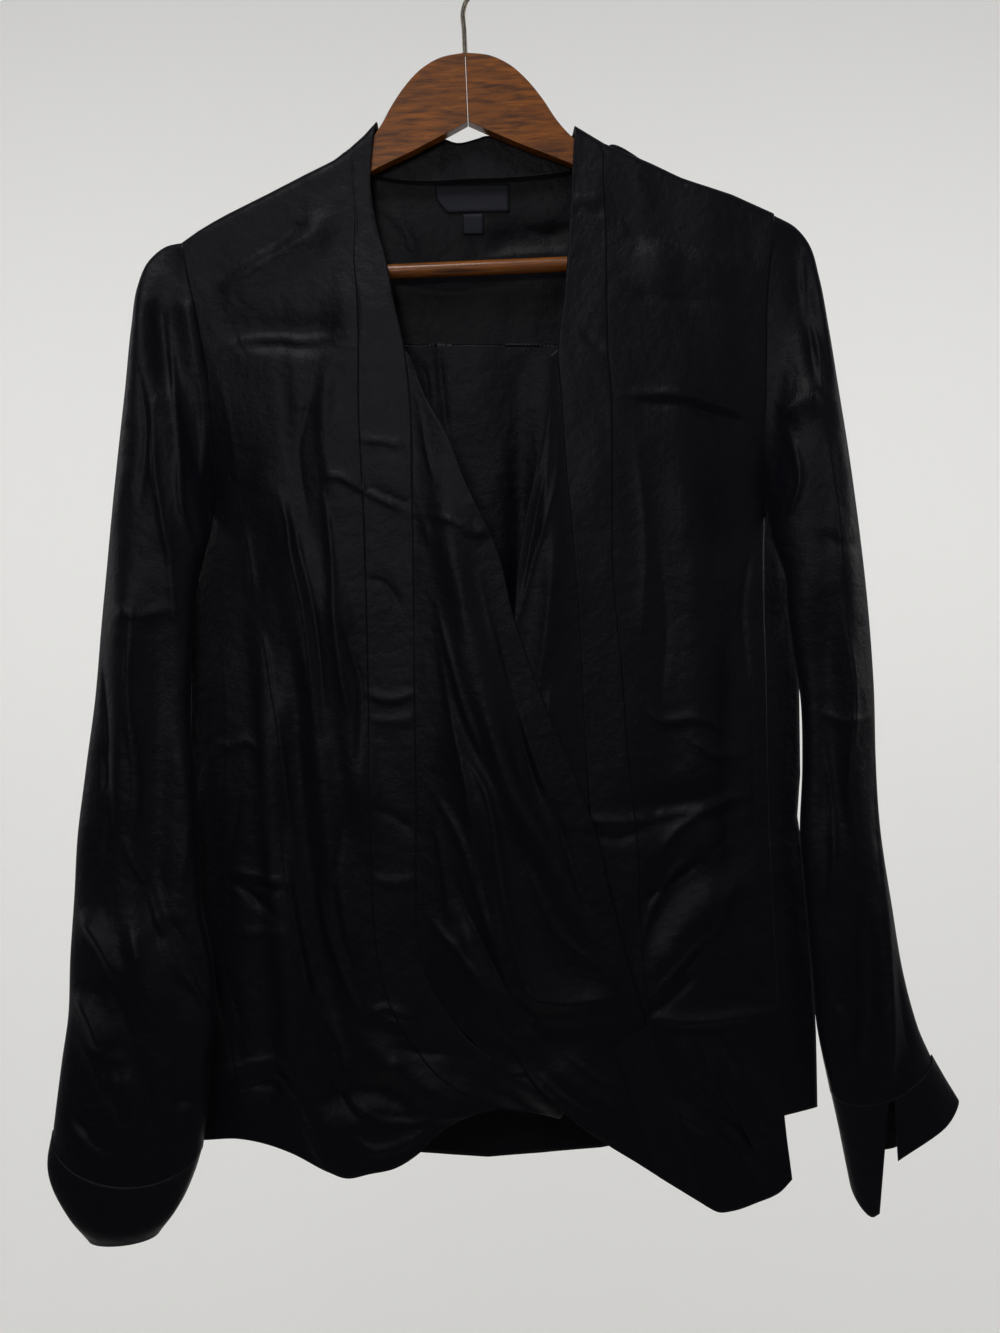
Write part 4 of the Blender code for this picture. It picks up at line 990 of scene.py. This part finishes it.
# %% Crossing wraps
left_wrap = lay(LEFT_WRAP, 70, 220, -TUCK, 0)
left_lift = wrap_lift(left_wrap, "left wrap", LEFT_WRAP_RISE, LEFT_WRAP_RUN, True)
shell("silk_left_wrap", "left_wrap", in_front(left_wrap, left_lift), silk)
right_wrap = lay(RIGHT_WRAP, 36, 230, 0, -TUCK)
right_lift = wrap_lift(right_wrap, "right wrap", RIGHT_WRAP_RISE, RIGHT_WRAP_RUN, False)
shell("silk_right_wrap", "right_wrap", in_front(right_wrap, right_lift), silk)

# %% [markdown]
# The back hangs from a yoke, with a box pleat in its middle for ease. The neck band stands
# round the back of the neck.

# %% Back, yoke and neck band
neck_band = behind(lay(NECK_BAND, 16, 70, 0, -TUCK, OVER_ARM, OVER_ARM), NECK_BAND_LIFT)
shell("silk_neck_band", "neck_band", sewn_on_top(neck_band, (0, -1)), band_silk,
      out=1)
yoke = behind(lay(YOKE, 160, 50, first=OVER_ARM))
shell("silk_back_yoke", "back_yoke", sewn_on_top(yoke), inside_silk,
      out=1)
shell("silk_back", "back", back_places(190, 14, 44, 160), silk,
      out=1)

# %% [markdown]
# The sleeves are set in at the armholes. The left cuff is closed, and the right one hangs
# open with its slit to the front.

# %% Sleeves and cuffs in place
shell("silk_left_sleeve", "left_sleeve", sleeve_places(LEFT_SLEEVE, 110, 250, 1, "left"), silk,
      closed=True)
shell("silk_right_sleeve", "right_sleeve", sleeve_places(RIGHT_SLEEVE, 110, 250, 2, "right"), silk,
      closed=True)
shell("silk_left_cuff", "left_cuff", left_cuff_places(110, 30), band_silk,
      closed=True)
shell("silk_right_cuff", "right_cuff", right_cuff_places(80, 24), band_silk)

# %% [markdown]
# The labels are short lengths of tape, sewn flat to the yoke.

# %% Labels
NECK_LABEL = [[(-18, 171.5), (34.5, 170.5)], [(-17, 181), (34.5, 180)], [(-9, 191), (34.5, 190)]]
SIZE_LABEL = [[(1.5, 192), (16.5, 191.6)], [(2, 206), (16.5, 206)]]

shell("tape_neck_label", "neck_label", behind(lay(NECK_LABEL, 24, 10), -LABEL_LIFT), tape,
      thick=TAPE_THICK)
shell("tape_size_label", "size_label", behind(lay(SIZE_LABEL, 8, 8), -LABEL_LIFT), tape,
      thick=TAPE_THICK)

# %% [markdown]
# A wooden hanger is two halves, sawn from a board 12 mm thick, shaped, sanded round and joined in
# the middle. Each half is its outline, filled and given its thickness, and a Bevel rounds the
# edges. The bar is a dowel and the hook a bent wire, so both are curves with a round section.

# %% Hanger
# The hanger in its own frame, which is turned round the hook by HANGER_TURN.
HANGER_TURN = math.radians(2.5)
HANGER_THICK = 12
ARM_UPPER = [
    (0, 83), (18, 86), (31, 93), (42, 103.5), (52.5, 117.5), (62, 133), (72, 145), (93, 158.5),
    (115, 169), (145, 182.5), (175, 196.5), (194, 206),
]
ARM_END = [(201, 211), (204, 220), (201, 232), (192, 241), (176, 242)]
ARM_LOWER = [
    (173, 239), (173, 225), (160, 216), (145, 206), (110, 186), (69, 163), (35, 148), (0, 131),
]
OUTLINE_POINTS = 150
ARM_GAP = 0.4  # between the two halves, on the hanger's middle line
SANDED_ROUND = 3.4  # radius of the wood's rounded edges
BAR_DROP, BAR_REACH, BAR_RADIUS = 232, 172.6, 5.2
WIRE_RADIUS, HOOK_RADIUS = 1.7, 20
WIRE_SEAT = 83.3  # drop of the wire's lower end, on the wood


def hook_points():
    """The shank, a swing out to the side, and the turn over the rod whose top is the origin."""
    wire = HOOK_RADIUS + WIRE_RADIUS
    middle = -HOOK_RADIUS
    shank = [(0, 0, -WIRE_SEAT), (0, 0, -66), (0, 0, -52)]
    swing = [(2, 0, -46), (7, 0, -39.5), (13.5, 0, -34)]
    turn = []
    for step in range(13):
        angle = math.radians(-32 + step * 17.5)
        turn.append((wire * math.cos(angle), 0, middle + wire * math.sin(angle)))
    return shank + swing + turn


def hung(name, data, node, made, turned=(0, 0, 0)):
    """A piece of the hanger, turned with it round the hook."""
    data.materials.append(made)
    piece = placed(name, data)
    piece.rotation_mode = "QUATERNION"
    hanger_turn = Euler((0, -HANGER_TURN, 0)).to_quaternion()
    piece.rotation_quaternion = hanger_turn @ Euler(turned).to_quaternion()
    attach(piece, "root")
    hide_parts(node)
    return piece


def curve_of(name, points, closed=False):
    curve = bpy.data.curves.new(name, "CURVE")
    curve.dimensions = "2D" if closed else "3D"
    spline = curve.splines.new("POLY")
    spline.points.add(len(points) - 1)
    for point, place in zip(spline.points, points):
        point.co = (*(Vector((*place, 0)[:3]) * MM), 1)
    spline.use_cyclic_u = closed
    return curve


def arm_of(name, side):
    """The mesh of one half of the hanger, its outline filled and given its thickness."""
    outline = spread(ARM_UPPER + ARM_END + ARM_LOWER, OUTLINE_POINTS)
    places = [(side * max(x, ARM_GAP / 2), -drop) for x, drop in outline]
    curve = curve_of(name, places, closed=True)
    curve.fill_mode, curve.extrude = "BOTH", HANGER_THICK / 2 * MM
    guide = placed(name, curve)
    bpy.context.view_layer.update()
    graph = bpy.context.evaluated_depsgraph_get()
    mesh = bpy.data.meshes.new_from_object(guide.evaluated_get(graph))
    bpy.data.objects.remove(guide)
    shape = bmesh.new()
    shape.from_mesh(mesh)
    filled_in(mesh, shape)
    mesh.materials.clear()
    return mesh


for side, node, name in (
    (-1, "hanger_left_arm", "left_arm_wood"), (1, "hanger_right_arm", "right_arm_wood")
):
    arm = hung(name, arm_of(name, side), node, arm_wood, (math.pi / 2, 0, 0))
    edge = arm.modifiers.new("sanded edge", "BEVEL")
    edge.width, edge.segments, edge.limit_method = SANDED_ROUND * MM, 6, "ANGLE"
    edge.angle_limit = math.radians(50)
    arm.data.shade_smooth()
    arm.modifiers.new("even light", "WEIGHTED_NORMAL").keep_sharp = False

rod = curve_of("bar_dowel", [(x, 0, -BAR_DROP) for x in np.linspace(-BAR_REACH, BAR_REACH, 12)])
rod.bevel_depth, rod.bevel_resolution, rod.use_fill_caps = BAR_RADIUS * MM, 10, True
hung("bar_dowel", rod, "hanger_bar", bar_wood)

bent = spread(hook_points(), 90)
hook = curve_of("hook_wire", bent)
hook.bevel_depth, hook.bevel_resolution, hook.use_fill_caps = WIRE_RADIUS * MM, 6, True
hung("hook_wire", hook, "hanger_hook", wire)
print("hanger is", HANGER_THICK, "mm thick, its bar", 2 * BAR_RADIUS, "mm")

# %% [markdown]
# The picture was taken from about a metre away and level with the middle of the blouse, and
# the camera stands there. The main light comes from above, in front of the blouse. A weak
# flash and a weaker fill open the shadows, and two lamps wash the wall behind.

# %% Floor, wall and camera
PIXEL_MM = 0.7  # at the hanger's plane
IMAGE = (1000, 1333)
HOOK_PIXEL = (460, -63)
CAMERA_AWAY = 1.15
FLOOR_DROP = 1.9
FLOOR_HALF = 5.0
SWEEP_REACH, SWEEP_ROUND, SWEEP_HEIGHT = 2.2, 1.4, 4.5


def sweep():
    """A pale floor that rises behind the blouse in one soft curve, with no line between them."""
    made, tree, shader = new_material("pale_backdrop")
    set_inputs(tree, shader, Base_Color=light_of("#ebeae8"), Roughness=0.8)
    turns = np.radians(np.linspace(0, 90, 24))
    rising = [
        (SWEEP_REACH + SWEEP_ROUND * math.sin(turn), SWEEP_ROUND * (1 - math.cos(turn)))
        for turn in turns
    ]
    section = [(-FLOOR_HALF, 0.0), *rising, (SWEEP_REACH + SWEEP_ROUND, SWEEP_HEIGHT)]
    shape = bmesh.new()
    rows = [
        [shape.verts.new((side * FLOOR_HALF, y, up - FLOOR_DROP)) for side in (-1, 1)]
        for y, up in section
    ]
    for (a, b), (c, d) in zip(rows, rows[1:]):
        shape.faces.new((a, b, d, c))
    mesh = bpy.data.meshes.new("pale_backdrop")
    shape.to_mesh(mesh)
    shape.free()
    mesh.shade_smooth()
    mesh.materials.append(made)
    placed("pale_backdrop", mesh)


sweep()

camera = placed("camera", bpy.data.cameras.new("camera"))
right, below = ((IMAGE[axis] / 2 - HOOK_PIXEL[axis]) * PIXEL_MM * MM for axis in (0, 1))
camera.location = (right, -CAMERA_AWAY, -below)
camera.rotation_euler = (math.pi / 2, 0, 0)
camera.data.sensor_fit, camera.data.sensor_height = "VERTICAL", 36
camera.data.lens = camera.data.sensor_height * CAMERA_AWAY / (IMAGE[1] * PIXEL_MM * MM)
bpy.context.scene.camera = camera
bpy.context.scene.view_settings.view_transform = "Standard"

# %% Lamps
def lamp(name, place, target, size, power):
    light = bpy.data.lights.new(name, "AREA")
    light.shape, light.size, light.energy = "DISK", size, power
    made = placed(name, light)
    made.location = place
    made.rotation_euler = (Vector(target) - Vector(place)).to_track_quat("-Z", "Y").to_euler()


middle = (0.03, 0, -0.5)
lamp("flash", (-0.25, -1.3, -0.05), middle, 0.3, 4.5)
lamp("fill", (1.1, -1.2, -0.2), middle, 1.2, 2)
lamp("top", (-0.25, -0.75, 0.9), middle, 0.5, 15)
for side in (-1, 1):
    lamp("wall wash", (side * 2.2, 0.5, 0.3), (side * 0.6, 3.4, 0.2), 1.6, 53)
world = bpy.data.worlds.new("studio")
bpy.context.scene.world = world
world.use_nodes = True
sky = world.node_tree.nodes["Background"]
set_inputs(world.node_tree, sky, Color=light_of("#e8e9ea"), Strength=0.17)
